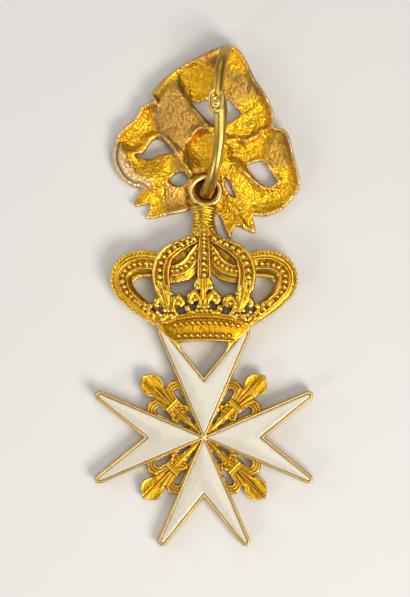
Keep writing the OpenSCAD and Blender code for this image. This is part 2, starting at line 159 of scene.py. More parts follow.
def grain(X, Y, size, seed, octaves=3):
    total = 0
    for k in range(octaves):
        total = total + noise(X, Y, size / OCTAVE_STEP ** k, seed + k) * OCTAVE_SHARE ** k
    return total


def rounded(edge, r):
    """How far the face drops near its edge, which is rounded by the radius r."""
    return r - np.sqrt(np.maximum(r * r - np.clip(r + edge, 0, r) ** 2, 0))


def lines(t, rows):
    """Raised and sunk lines across a band: height, place and width of each."""
    total = 0
    for height, at, width in rows:
        total = total + height * bell((t - at) / width)
    return total


def waves(run, pitch):
    return np.sin(run * 2 * math.pi / pitch)


# relief on a grid of cells

# Distance from any solid that an empty grid starts with
EMPTY = 9.0


class Cast:
    """Union of relief pieces, each between two height maps and inside an outline."""

    def __init__(self, x, y, z, cell):
        self.cell = cell
        self.low = np.array([x[0], y[0], z[0]], float)
        self.axes = [a + cell * np.arange(math.ceil((b - a) / cell) + 1) for a, b in (x, y, z)]
        self.field = np.full([len(axis) for axis in self.axes], EMPTY, np.float32)
        self.X, self.Y = np.meshgrid(*self.axes[:2], indexing="ij")

    def merge(self, block, values, melt):
        old = self.field[block]
        if melt:
            h = np.clip(0.5 + 0.5 * (old - values) / melt, 0, 1)
            self.field[block] = old + (values - old) * h - melt * h * (1 - h)
        else:
            self.field[block] = np.minimum(old, values)

    def add(self, edge, top, bottom=None, melt=0.0):
        """edge is the distance outside the outline; the piece fills z from bottom to top."""
        top = top + 0 * edge
        bottom = -top if bottom is None else bottom + 0 * edge
        use = np.argwhere(edge < 3 * self.cell + melt)
        (i0, j0), (i1, j1) = use.min(0), use.max(0) + 1
        block = (slice(i0, i1), slice(j0, j1), slice(None))
        e, t, b = (a[i0:i1, j0:j1, None] for a in (edge, top, bottom))
        z = self.axes[2]
        self.merge(block, np.maximum(np.maximum(z - t, b - z), e).astype(np.float32), melt)

    def ball(self, x, y, z, r, melt=0.0):
        """A bead at height z, and its mirror image below the middle plane."""
        reach = r + 3 * self.cell + melt
        i0, i1 = np.searchsorted(self.axes[0], [x - reach, x + reach])
        j0, j1 = np.searchsorted(self.axes[1], [y - reach, y + reach])
        dx = self.axes[0][i0:i1, None, None] - x
        dy = self.axes[1][j0:j1, None] - y
        dz = np.abs(self.axes[2]) - z
        apart = np.sqrt(dx ** 2 + dy ** 2 + dz ** 2)
        self.merge((slice(i0, i1), slice(j0, j1), slice(None)), (apart - r).astype(np.float32), melt)

    def crowding(self, reach):
        """Share of solid within reach of each grid place: over a half in hollows, under it on crests."""
        share = (self.field < 0).astype(np.float32)
        n = max(1, round(reach / self.cell))
        # each turn takes running means along the first axis and moves that axis to the end
        for _ in range(3):
            sums = np.cumsum(np.pad(share, [(n + 1, n), (0, 0), (0, 0)], mode="edge"), axis=0)
            share = np.moveaxis((sums[2 * n + 1:] - sums[:len(share)]) / (2 * n + 1), 0, -1)
        return share

    def skin(self):
        """Surface nets: one corner in each cell that the surface crosses, one face across each edge."""
        f = self.field
        cells = tuple(n - 1 for n in f.shape)
        solid = f < 0
        total = np.zeros((math.prod(cells), 3))
        hits = np.zeros(len(total))
        edges = []
        unit = np.eye(3, dtype=int)
        for axis in range(3):
            at = np.argwhere(np.diff(solid, axis=axis))
            fa, fb = f[tuple(at.T)], f[tuple((at + unit[axis]).T)]
            place = at.astype(float)
            place[:, axis] += fa / (fa - fb)
            edges.append((at, solid[tuple(at.T)]))
            u, v = [k for k in range(3) if k != axis]
            for du in (0, 1):
                for dv in (0, 1):
                    c = at - du * unit[u] - dv * unit[v]
                    ok = (c >= 0).all(1) & (c < cells).all(1)
                    flat = np.ravel_multi_index(c[ok].T, cells)
                    hits += np.bincount(flat, minlength=len(hits))
                    for k in range(3):
                        total[:, k] += np.bincount(flat, place[ok, k], len(hits))
        used = np.nonzero(hits)[0]
        number = np.full(len(hits), -1)
        number[used] = np.arange(len(used))
        corners = self.low + self.cell * (total[used] / hits[used, None])
        faces = []
        for axis, (at, first_solid) in enumerate(edges):
            u, v = (axis + 1) % 3, (axis + 2) % 3
            inner = (at[:, u] > 0) & (at[:, v] > 0) & (at[:, u] < cells[u]) & (at[:, v] < cells[v])
            at, first_solid = at[inner], first_solid[inner]
            ring = []
            for du, dv in ((1, 1), (0, 1), (0, 0), (1, 0)):
                c = at - du * unit[u] - dv * unit[v]
                ring.append(number[np.ravel_multi_index(c.T, cells)])
            quad = np.stack(ring, axis=1)
            quad[~first_solid] = quad[~first_solid][:, ::-1]
            faces.append(quad)
        return corners, np.vstack(faces).tolist(), np.array(np.unravel_index(used, cells)).T


def add_object(name, data):
    obj = bpy.data.objects.new(name, data)
    bpy.context.scene.collection.objects.link(obj)
    return obj


def mesh_object(name, corners, faces, place):
    """Smooth object from corners in millimetres, placed by a matrix in millimetres, and faces."""
    corners = np.asarray(corners, float) @ np.array(place.to_3x3()).T + np.array(place.translation)
    mesh = bpy.data.meshes.new(name)
    mesh.from_pydata((corners * MM).tolist(), [], faces)
    mesh.polygons.foreach_set("use_smooth", np.ones(len(faces), bool))
    return add_object(name, mesh)


def sleeve(rings, around):
    """Quads between rings of corners, each with the same number of corners, and the rows of corners."""
    rows = np.arange(rings * around).reshape(rings, around)
    after = np.roll(rows, -1, axis=1)
    quads = np.stack([rows[:-1], after[:-1], after[1:], rows[1:]], axis=-1)
    return quads.reshape(-1, 4).tolist(), rows.tolist()


def set_layer(obj, name, values):
    layer = obj.data.attributes.new(name, "FLOAT", "POINT")
    layer.data.foreach_set("value", np.asarray(values, np.float32))


# Hollows and crests are told by how crowded a place is with solid, near by and further round. Hollows get
# painted shade, crests a painted highlight
NEAR_REACH = 0.42
WIDE_REACH = 1.1
NEAR_WEIGHT = 3.2
WIDE_WEIGHT = 0.35
CREST_HIGHLIGHT_WEIGHT = 4.5


def cast_object(name, cast, place, rough=None, tarnish_and_shade=None, wear_and_highlight=0, plain_front=False):
    """Object of a cast, with layers for painted shade in its hollows, painted highlights on its crests,
    where it is rough, and the tarnish-and-shade layer.
    Where the wear-and-highlight share is given, the place is as pale as the painted highlights on crests.
    A plain front is even, with painted highlights on its edges."""
    corners, faces, cells = cast.skin()
    obj = mesh_object(name, corners, faces, place)
    seen = np.ones(len(corners))
    if plain_front:
        normals = np.empty(3 * len(corners), np.float32)
        obj.data.vertex_normals.foreach_get("vector", normals)
        seen = fade(normals.reshape(-1, 3)[:, 2] / 0.4 + 0.8)
    share = cast.crowding(NEAR_REACH)[tuple(cells.T)]
    wide = cast.crowding(WIDE_REACH)[tuple(cells.T)]
    # painted shade: the more crowded a place, the darker its colour
    hollow = np.clip((share - 0.5) * NEAR_WEIGHT + (wide - 0.5) * WIDE_WEIGHT, 0, 1)
    set_layer(obj, "hollow", hollow * seen)
    pale = np.broadcast_to(wear_and_highlight, cast.X.shape)[cells[:, 0], cells[:, 1]]
    # painted highlight: thin places on crests and edges are paler
    set_layer(obj, "crest_highlight", np.clip((0.4 + 0.08 * seen - share) * CREST_HIGHLIGHT_WEIGHT + pale * seen, 0, 1))
    for layer, values, front in (("rough", rough, 0.5), ("tarnish_and_shade", tarnish_and_shade, 0)):
        if values is not None:
            set_layer(obj, layer, values[cells[:, 0], cells[:, 1]] * seen + front * (1 - seen))
    return obj


# materials

class Look:
    """A material. Each of its helpers adds a node and gives that node's output."""

    def __init__(self, name):
        self.material = bpy.data.materials.new(name)
        self.material.use_nodes = True
        self.tree = self.material.node_tree
        self.shader = self.tree.nodes["Principled BSDF"]

    def feed(self, node, inputs):
        """Sets a node's inputs, each to a constant or to another node's output."""
        for key, value in inputs.items():
            if isinstance(value, bpy.types.NodeSocket):
                self.tree.links.new(value, node.inputs[key])
            else:
                node.inputs[key].default_value = value

    def noise(self, size, detail, distortion=0.0):
        place = self.tree.nodes.new("ShaderNodeTexCoord")
        node = self.tree.nodes.new("ShaderNodeTexNoise")
        self.feed(node, {"Vector": place.outputs["Object"], "Scale": 1 / (size * MM),
                         "Detail": detail, "Distortion": distortion})
        return node.outputs["Fac"]

    def layer(self, name):
        node = self.tree.nodes.new("ShaderNodeAttribute")
        node.attribute_name = name
        return node.outputs["Fac"]

    def math(self, operation, *values, clamp=False):
        node = self.tree.nodes.new("ShaderNodeMath")
        node.operation = operation
        node.use_clamp = clamp
        self.feed(node, dict(enumerate(values)))
        return node.outputs[0]

    def scaled(self, value, factor, plus, clamp=False):
        return self.math("MULTIPLY_ADD", value, factor, plus, clamp=clamp)

    def tones(self, value, *stops):
        """Colour between two tones, each given with its place."""
        node = self.tree.nodes.new("ShaderNodeValToRGB")
        for element, (place, tone) in zip(node.color_ramp.elements, stops):
            element.position = place
            element.color = (*tone, 1)
        self.feed(node, {"Fac": value})
        return node.outputs["Color"]

    def mix(self, first, second, share):
        """Colour that goes from the first to the second as the share grows."""
        node = self.tree.nodes.new("ShaderNodeMix")
        node.data_type = "RGBA"
        self.feed(node, {"A": first, "B": second, "Factor": share})
        return node.outputs["Result"]

    def bump(self, height, strength, distance):
        node = self.tree.nodes.new("ShaderNodeBump")
        self.feed(node, {"Height": height, "Strength": strength, "Distance": distance * MM})
        return node.outputs["Normal"]


# Near-black tone of the tarnish-and-shade layer: tarnished spots, and painted shade in recesses and under
# the pendant's ring
TARNISH_AND_SHADE_TONE = (0.08, 0.024, 0.005)
PATCH_SIZE = 2.4
PATCH_PULL = 0.55
# Cover by rough patches from which on the smooth tone gives way
COVER_FROM = 0.45


def gilt(name, bright, mid, dark, gloss, grain_size, bump, coarse=0.3, dull=0.1, smooth=None):
    """Gilding: browner in the hollows from painted shade, paler on the crests from a painted highlight,
    darker where the tarnish-and-shade layer lies, uneven in patches, with a cast grain. The bright tone is
    the painted highlight and the dark tone the painted shade.
    Rough places are duller and coarser by the given shares; where a smooth tone is given, the
    places that aren't rough take it."""
    look = Look(name)
    hollow, crest_highlight, rough, tarnish_and_shade = [look.layer(layer) for layer in ("hollow", "crest_highlight", "rough", "tarnish_and_shade")]
    patch = look.noise(PATCH_SIZE, 4)
    fine = look.noise(grain_size, 1)
    # painted shade in the hollows and random dark patches pull the colour to the dark tone
    body = look.tones(look.scaled(patch, PATCH_PULL, hollow), (0.2, mid), (0.95, dark))
    if smooth:
        cover = look.scaled(rough, 1.3, patch, clamp=True)
        rise = 1 / (1 - COVER_FROM)
        body = look.mix((*smooth, 1), body, look.scaled(cover, rise, -COVER_FROM * rise, clamp=True))
    # painted highlight: crests take the bright tone
    body = look.mix(body, (*bright, 1), crest_highlight)
    shine = look.scaled(fine, gloss[1] - gloss[0], gloss[0])
    look.feed(look.shader, {
        # tarnish, and painted shade in recesses and under the ring, pull the colour towards near-black
        "Base Color": look.mix(body, (*TARNISH_AND_SHADE_TONE, 1), tarnish_and_shade),
        "Roughness": look.scaled(rough, dull, shine),
        "Normal": look.bump(fine, look.scaled(rough, coarse, bump), 2 * grain_size),
        "Metallic": 1.0
    })
    return look.material


def enamel():
    """Off-white enamel, clouded, slightly uneven and faintly crazed."""
    look = Look("white_enamel")
    body = look.tones(look.noise(5, 3), (0.3, (0.60, 0.55, 0.435)), (0.7, (0.665, 0.615, 0.49)))
    # hairline cracks follow the middle level of a coarse noise
    cracks = look.math("COMPARE", look.noise(7, 5, 0.6), 0.5, 0.004)
    faint = look.scaled(cracks, 0.22, 0)
    look.feed(look.shader, {
        "Base Color": look.mix(body, (0.36, 0.31, 0.22, 1), faint),
        "Normal": look.bump(look.noise(0.5, 3), 0.25, 0.2),
        "Roughness": 0.25,
        "Coat Weight": 0.4,
        "Coat Roughness": 0.08
    })
    return look.material


CAST_GOLD = gilt(
    "gilt_cast", bright=(0.80, 0.60, 0.35), mid=(0.91, 0.495, 0.015), dark=(0.60, 0.32, 0.025),
    gloss=(0.36, 0.46), grain_size=0.46, bump=0.18, coarse=0.21, dull=0.0, smooth=(0.42, 0.232, 0.054))
POLISHED_GOLD = gilt(
    "gilt_polished", bright=(0.97, 0.73, 0.22), mid=(0.77, 0.46, 0.03), dark=(0.32, 0.15, 0.008),
    gloss=(0.25, 0.35), grain_size=0.42, bump=0.12)
BAND_GOLD = gilt(
    "gilt_band", bright=(0.95, 0.70, 0.20), mid=(0.60, 0.31, 0.009), dark=(0.34, 0.15, 0.006),
    gloss=(0.32, 0.42), grain_size=0.3, bump=0.1)
SATIN_GOLD = gilt(
    "gilt_satin", bright=(0.78, 0.57, 0.20), mid=(0.63, 0.355, 0.015), dark=(0.30, 0.12, 0.004),
    gloss=(0.34, 0.46), grain_size=0.42, bump=0.14)
RIM_GOLD = gilt(
    "gilt_rim", bright=(0.95, 0.72, 0.34), mid=(0.66, 0.43, 0.13), dark=(0.32, 0.17, 0.05),
    gloss=(0.32, 0.46), grain_size=0.22, bump=0.1)
WIRE_GOLD = gilt(
    "gilt_wire", bright=(0.86, 0.65, 0.28), mid=(0.70, 0.46, 0.11), dark=(0.38, 0.22, 0.05),
    gloss=(0.26, 0.38), grain_size=0.2, bump=0.06)
AGED_GOLD = gilt(
    "gilt_aged", bright=(0.68, 0.46, 0.14), mid=(0.56, 0.34, 0.055), dark=(0.32, 0.165, 0.02),
    gloss=(0.30, 0.42), grain_size=0.22, bump=0.08)
WHITE = enamel()


def finish_piece(obj, material, slot, *nodes):
    obj.data.materials.append(material)
    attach(obj, ROOT)
    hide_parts(*nodes)


def pendant_piece(name, cast, gold, place=PENDANT, tarnish_and_shade=None):
    obj = cast_object(name, cast, place, tarnish_and_shade=tarnish_and_shade)
    finish_piece(obj, gold, "gilt_polished", "crown_and_cross")


# bow

# Outline from the top, round the left loop and the tails: x, y from the middle of the knot
BOW_OUTLINE = [
    [4.2, 17.8], [1.8, 17.1], [-0.5, 16], [-3.4, 14.4], [-5.9, 12.7], [-8.1, 10.4], [-8.7, 9.1],
    [-8.3, 8.3], [-10.1, 7.6], [-11.4, 5.5], [-13.8, 3.3], [-14.9, 1], [-15.1, -1.8], [-13.9, -4.4],
    [-12, -5.9], [-10.3, -6.4], [-11.2, -7.9], [-11.6, -9.2], [-10.4, -9.2], [-9, -8.7],
    [-9.2, -10.2], [-9.6, -11.3], [-7.2, -11], [-4, -10.3], [-1.6, -9.8], [1.2, -10], [2.7, -10.8],
    [3.5, -12.6], [4.5, -14.6], [5.2, -13], [5.8, -12.6], [7.2, -13.2], [8.8, -13.7], [8.7, -12.2],
    [8.4, -10.8], [10.5, -10.9], [13.2, -9.8], [15.3, -7.6], [16.3, -5.4], [15.3, -0.8],
    [14.4, 2.6], [13.4, 3.8], [11.9, 4.2], [11.8, 6.6], [10.6, 9.4], [8.7, 12.2], [7.5, 14.8],
    [6, 17]
]
BOW_WINDOWS = [
    [[-1.8, 8.5], [-0.7, 8.1], [1, 8.7], [2.7, 9.1], [4.2, 8.6], [5.4, 7.3], [6.3, 6.4], [5.3, 5.5],
     [3.4, 4.4], [2, 4.3], [0.3, 5.7], [-1.1, 7.2]],
    [[-11.3, -0.5], [-9.9, -0.3], [-8.9, 1.2], [-7.6, 2], [-6.4, 1.2], [-5.2, -0.2], [-7, -0.5],
     [-8.6, -1.2], [-10.2, -1.1]],
    [[-5.5, -4.9], [-4.6, -3.9], [-3.3, -3.6], [-2.5, -4.5], [-3.2, -5.5], [-4.4, -5.7]],
    [[7.4, -2.4], [9, -1.8], [10.2, -1.9], [11.4, -3.6], [12.3, -5.1], [10.9, -5.9], [9.4, -5], [8, -3.4]],
    [[3.7, -5.1], [4.2, -5], [4.6, -5.8], [5, -6.6], [5.35, -7.5], [4.85, -7.4], [4.3, -6.7], [3.85, -5.9]]
]
# Panels of the bow, raised or sunk with a soft edge: height, width of the edge, roughness, outline
BOW_PANELS = [
    [0, 0.6, 0.85,
     [[2.2, 4], [5, 2.6], [5.6, -1.2], [7.4, -3], [9.6, -6.4], [8, -9], [4.4, -7.4], [2.6, -3.6]]],
    [0, 0.5, 0.8,
     [[12.8, -3.5], [15.6, -2.6], [15.8, -6], [14.6, -8.8], [12.6, -6.8]]],
    [-0.22, 0.7, 0.95,
     [[-4.4, 13], [-1.9, 14.5], [0.9, 14], [0.9, 10.5], [0.6, 8.8], [-0.6, 8.1], [-1.8, 8.6],
      [-2.6, 10.5], [-3.6, 11.3]]],
    [-0.65, 0.6, 0.8,
     [[-13.8, 2], [-12.2, 4.4], [-10.2, 6.3], [-8.5, 7.4], [-8.2, 5.4], [-7.9, 3.3], [-9.4, 2.2],
      [-11.1, 0.3], [-13.2, 0.7]]],
    [0.55, 0.7, 0.0,
     [[-8.2, 8.9], [-4.5, 12], [-3.1, 11], [-1.7, 8.5], [-0.5, 7.6], [2.2, 5], [-1.4, 3.3], [-2.8, 2],
      [-3.3, -0.1], [-2.8, -3], [-4.2, -3.1], [-4.7, -1], [-5.3, 0.9], [-6.4, 2], [-7.9, 3.3],
      [-8.3, 5.8]]],
    [0.5, 0.7, 0.4,
     [[-15.4, 1], [-13, 0.4], [-11.6, -2.35], [-9.9, -4.4], [-9.8, -6], [-13.1, -5], [-15.4, -2.35]]],
    [0.1, 0.6, 0.55,
     [[-11.6, -0.6], [-9.4, -1.2], [-6.6, -0.8], [-5.4, -0.8], [-5.4, -2.3], [-6, -4.2], [-6.4, -5.3],
      [-9.4, -5.5], [-11.8, -3.6]]],
    [-0.45, 0.5, 0.7,
     [[4.9, 1.4], [8.4, 2], [11.2, 3.2], [10.8, 0.3], [9.5, -1.2], [7.3, -2], [4.8, -1.4]]],
    [0.25, 0.6, 0.1,
     [[11.2, 2.6], [13.9, 2.9], [14.5, -2.2], [13, -3.3], [11, -1.4]]],
    [0.1, 0.8, 0.05,
     [[3.9, 15.4], [5, 14.6], [6.8, 14.8], [9.4, 11.4], [9.4, 9.6], [7.6, 8.6], [5.2, 8.8], [3.8, 10.6]]],
    [0, 0.6, 0,
     [[-1.6, 15.3], [0.8, 16.3], [2.8, 17], [2.6, 14.4], [0.6, 14.3], [-1.4, 14.9]]],
    [-0.25, 0.6, 0.9,
     [[6.6, 7.4], [8.8, 8.2], [10.8, 7.6], [11.4, 4.2], [8.9, 2.3], [6.6, 2.1], [4.2, 2.5], [4.2, 4.6],
      [6.5, 6.3]]],
    [0.15, 0.5, 0.0,
     [[-7, -5.4], [-2.7, -6], [-2.7, -10.1], [-6.8, -10.3]]],
    [0, 0.6, 0.6,
     [[3.9, 16.8], [6.6, 16.2], [7.6, 14.2], [5.6, 14], [4.2, 15]]],
    [-0.1, 0.5, 0.85,
     [[2.6, -7.6], [6, -7.6], [9, -12.3], [4.5, -14], [3, -11]]],
    [-0.15, 0.6, 0.9,
     [[8, -6.2], [15, -5.6], [14.5, -8.5], [11, -10.4], [8.4, -9.6]]],
    [-0.1, 0.5, 0.9,
     [[-11, -6.4], [-7.4, -6], [-7.2, -10.6], [-9.3, -10.8]]]
]
# Ridges that stand up from the bow: height, width, path
BOW_RIDGES = [
    [0.6, 0.45, [[-11.4, -0.1], [-9.4, 2], [-7.9, 2.75], [-6.2, 2], [-4.2, 0]]],
    [0.45, 0.5, [[0.5, 4], [-1.6, 3.2], [-2.9, 1], [-3.1, -1.6], [-2, -3.6]]],
    [0.45, 0.5, [[-1.6, 3.2], [0.2, 3.7], [2.4, 3.3], [3.5, 1.4], [3.6, -1], [2.8, -3]]],
    [0.55, 0.4, [[6.3, -2.7], [7.8, -4.2], [9.3, -5.6], [11.4, -6.2]]],
    [0.5, 0.35, [[10.8, -2.3], [12, -4], [13, -5.1], [12, -5.8]]],
    [0.7, 0.45, [[4.5, 2.3], [6.7, 1.9], [8.8, 2.5], [11.2, 3.9]]],
    [0.4, 1.3, [[-12.4, 0.4], [-12, -2], [-10.8, -3.7], [-9, -4.6]]],
    [0.45, 0.8, [[14.3, 2], [15.3, -1.3], [15.8, -5.3], [14.2, -8.3], [11.3, -10]]],
    [0.35, 0.35, [[2.9, -7.8], [5, -9.4], [6.7, -12]]],
    [0.3, 0.4, [[-9.4, -6.1], [-6.2, -5.1], [-4.2, -3.6], [-2.5, -3.4]]],
    [0.35, 0.5, [[-1.8, 8.3], [-0.4, 5.9], [1.8, 4.2]]],
    [0.3, 0.5, [[-11, -8.9], [-9, -7.4], [-7.4, -6.6]]],
    [0.3, 0.5, [[5.4, 2.8], [6, 5.4], [9.5, 7.8], [10.4, 9.2]]]
]
BOW_WALL = 1.0
BOW_LIP = 0.5
BOW_BASE = 1.25
# The loops rise over this stretch of y; the rim on them is lower where it lies flush
LOOPS_FROM = -9
LOOPS_OVER = 5
LOOPS_RISE = 1.0
RIM_LOW = 0.3
RIM_RISE = 1.1
RIM_WIDE = 0.8
# Shares by which the rim is lower along the top and on the left loop, and where each begins
FLUSH_TOP = 0.8
FLUSH_TOP_FROM = 8.5
FLUSH_LEFT = 0.6
FLUSH_LEFT_FROM = (-8, -0.5)
# The left roll turns down to its edge, with a ridge and a groove: height, place, width
LEFT_ROLL = [[-15.1, -0.4], [-14.9, -2.2], [-13.7, -4.3], [-12, -5.7], [-11, -6]]
ROLL_HALF_W = 3.4
ROLL_DROP = 0.5
ROLL_LINES = [[0.16, 1.25, 0.28], [-0.24, 0.75, 0.22]]
PLAIN_ROUGH = 0.15
ROUGH_REACH = 0.6
RAGGED = 0.5
# How far the folds stray from their drawn places
STRAY = 0.35
KNOT_HALF = (2.6, 3.2)
KNOT_DEEP = 0.8
KNOT_ROUGH = 0.45
# Low place under the pendant's ring, and the middle of the painted shade under it
RING_CLEAR_AT = (0.5, -6.4)
RING_CLEAR_WIDE = 4
RING_CLEAR_DEEP = 1.4
RING_DIP_WIDE = 2.9
# Tarnished places: x, y, radius, share
BOW_TARNISH = [
    [1.9, 15.2, 1.6, 0.6], [0.4, 13.6, 1.3, 0.2], [4.6, 12.4, 1.4, 0.3], [-4.6, 3.2, 1.4, 0.15],
    [-4.9, -8, 2, 0.3], [-8.6, -3.2, 3, 0.3], [5.4, -2.2, 1.4, 0.25], [11, -7.5, 3.5, 0.16]
]
BOW_CELL = 0.15


def bow_relief(X, Y, off):
    """Height of the bow's back, and how rough its cast is."""
    loops = fade((Y - LOOPS_FROM) / LOOPS_OVER)
    near_ring = away(X, Y, RING_CLEAR_AT)
    clear = 1 - bell(near_ring / RING_CLEAR_WIDE)
    # the edge stands up as a rim, except on the left roll
    roll = fade((ROLL_HALF_W - follow(X, Y, LEFT_ROLL)[0]) / 1.6)
    z = BOW_BASE + LOOPS_RISE * loops
    flush_top = FLUSH_TOP * fade((Y - FLUSH_TOP_FROM) / 3)
    left_x, left_y = FLUSH_LEFT_FROM
    flush_left = FLUSH_LEFT * fade((Y - left_y) / 2) * fade((left_x - X) / 2)
    rise = RIM_LOW + (RIM_RISE - RIM_LOW) * loops * (1 - np.maximum(flush_top, flush_left))
    z = z + rise * bell(off / RIM_WIDE) * clear * (1 - roll)
    z = z - ROLL_DROP * roll * bell(off / 1.1)
    z = z + roll * fade((Y + 6.6) / 0.8) * lines(off, ROLL_LINES)
    rough = PLAIN_ROUGH
    U, V = X + STRAY * noise(X, Y, 1.3, 51), Y + STRAY * noise(X, Y, 1.3, 52)
    for height, soft, coarse, outline in BOW_PANELS:
        outside = outline_distance(U, V, curve(outline, 4, True))
        z = z + height * fade(0.5 - outside / (3 * soft)) * clear
        ragged = outside + RAGGED * noise(X, Y, 0.9, 53)
        rough = blend(rough, coarse, fade(0.5 - (ragged - ROUGH_REACH * (coarse > 0.5)) / 0.8))
    uneven = 0.8 + 0.35 * noise(X, Y, 1.6, 54)
    for height, width, path in BOW_RIDGES:
        z = z + height * uneven * clear * bell(follow(U, V, curve(path, 4))[0] / (1.3 * width))
    knot = np.hypot(U / KNOT_HALF[0], V / KNOT_HALF[1])
    z = z - KNOT_DEEP * fade(1.2 - knot)
    rough = blend(rough, KNOT_ROUGH, fade((1.1 - knot) / 0.3))
    z = z - RING_CLEAR_DEEP * bell(near_ring / RING_DIP_WIDE)
    return np.maximum(BOW_WALL, z), rough


def bow_tarnish_and_painted_light(X, Y, edge):
    """Share of tarnish and painted shade on the bow, and how pale the left roll is. Tarnished spots,
    painted shade under the pendant's ring, and a darker line along the left roll's groove; the left roll
    is paler from wear of its gilding and from a painted highlight.
    """
    # painted shade under the pendant's ring
    tarnish_and_shade = fade((2.6 - away(X, Y, RING_CLEAR_AT)) / 0.8)
    for x, y, r, share in BOW_TARNISH:
        spot = fade(1.2 - away(X, Y, (x, y)) / r + 0.4 * noise(X, Y, 0.8, 61))
        tarnish_and_shade = np.maximum(tarnish_and_shade, share * spot)
    # the left roll is paler: partly wear of its gilding, partly a painted highlight on its edge
    wear_and_highlight = fade((3.3 - follow(X, Y, LEFT_ROLL)[0]) / 2.2 + 0.35 * noise(X, Y, 0.6, 62))
    wear_and_highlight = wear_and_highlight * fade((Y + 7.2) / 1.2)
    # a darker line along the left roll's groove
    groove = fade((Y + 5.6) / 0.8) * bell((edge + 0.72) / 0.2)
    return np.maximum(tarnish_and_shade, 0.75 * wear_and_highlight * groove), wear_and_highlight


def build_bow():
    cast = Cast((-16.2, 17.4), (-15.8, 18.8), (-0.4, 6.6), BOW_CELL)
    X, Y = cast.X, cast.Y
    edge = outline_distance(X, Y, curve(BOW_OUTLINE, 5, True))
    base, rough = bow_relief(X, Y, np.abs(edge))
    lumps = 0.05 * grain(X, Y, 1.5, 9) + 0.06 * grain(X, Y, 0.56, 3)
    top = base + blend(0.12, 1, rough ** 2) * lumps + 0.05 * grain(X, Y, 1.5, 15)
    top = top + 0.16 * noise(X, Y, 3.2, 33)
    for window in BOW_WINDOWS:
        edge = np.maximum(edge, -outline_distance(X, Y, curve(window, 5, True)))
    cast.add(edge, top - rounded(edge, BOW_LIP), np.maximum(base - BOW_WALL, 0.02))
    tarnish_and_shade, wear_and_highlight = bow_tarnish_and_painted_light(X, Y, edge)
    obj = cast_object("bow_relief", cast, BOW_PLACE, rough, tarnish_and_shade, 1.1 * wear_and_highlight, plain_front=True)
    finish_piece(obj, CAST_GOLD, "gilt_cast", "bow")


# wires

TUBE_SIDES = 28
CAP_STEPS = 4
CAP_STRETCH = 0.8


def tube(name, rows, place):
    """Wire along rows of x, y, z, width, thickness, with rounded ends."""
    rows = np.asarray(rows, float)
    along = np.gradient(rows[:, :3], axis=0)
    along = along / np.linalg.norm(along, axis=1)[:, None]
    side = np.cross(along, (0, 0, 1.0))
    side = side / np.linalg.norm(side, axis=1)[:, None]
    up = np.cross(side, along)
    # sections that shrink round off both ends
    turn = np.arange(1, CAP_STEPS + 1) * math.pi / 2 / (CAP_STEPS + 1)
    bend = np.concatenate([-turn[::-1], np.zeros(len(rows)), turn])
    at = np.clip(np.arange(len(bend)) - CAP_STEPS, 0, len(rows) - 1)
    a, b = (rows[at, 3:5] / 2).T
    middle = rows[at, :3] + along[at] * (CAP_STRETCH * b * np.sin(bend))[:, None]
    angle = np.arange(TUBE_SIDES) * 2 * math.pi / TUBE_SIDES
    across = np.outer(a * np.cos(bend), np.cos(angle))[..., None]
    upward = np.outer(b * np.cos(bend), np.sin(angle))[..., None]
    corners = middle[:, None] + side[at][:, None] * across + up[at][:, None] * upward
    faces, rings = sleeve(len(at), TUBE_SIDES)
    tip = corners.shape[0] * TUBE_SIDES
    for k in range(TUBE_SIDES):
        after = (k + 1) % TUBE_SIDES
        faces.append([tip, rings[0][after], rings[0][k]])
        faces.append([tip + 1, rings[-1][k], rings[-1][after]])
    corners = np.vstack([corners.reshape(-1, 3), middle[:1], middle[-1:]])
    return mesh_object(name, corners, faces, place)


ARM_W = 1.85
ARM_FLAT = 0.8
WIRE_TOP = 9.3
ARM_PATH = [
    [3.95, 17, 3.3], [3.75, 16.3, 5.3], [3.4, 15.3, 6.8], [3, 14, 7.8], [2.72, 12.6, 8.35],
    [2.52, 11.2, 8.6], [2.4, 10, 8.7], [2.3, 9.4, 8.7]
]
HOOK_PATH = [
    [2.75, 9.2, 7.75, 1.7, 1.1], [2.85, 8.2, 7.8, 2.2, 1.2], [3, 6.2, 7.8, 2.3, 1.3],
    [2.9, 3.7, 7.6, 2, 1.35], [2.7, 1.2, 7.15, 1.85, 1.35], [2.4, -1, 6.5, 1.75, 1.35],
    [2.05, -2.8, 5.7, 1.85, 1.3], [1.7, -4.2, 4.8, 1.95, 1.3], [1.28, -5.4, 3.8, 2.1, 1.25],
    [0.8, -6.4, 2.75, 2.2, 1.2], [0.35, -7.3, 1.85, 2.1, 1.1]
]
EYE_AT = (2.2, 8.2)
EYE_HALF = (1.35, 2.15)
EYE_T = 0.8
EYE_CELL = 0.07
LOBE_AT = (-0.2, -1.55)
LOBE_R = 0.62
RIVET_R = 0.72
RIVET_LINES = [[0.1, 0.5, 0.14], [-0.05, 0, 0.3]]
RIVET_DOT_AT = (0.1, 0.05)
RIVET_DOT_R = 0.16


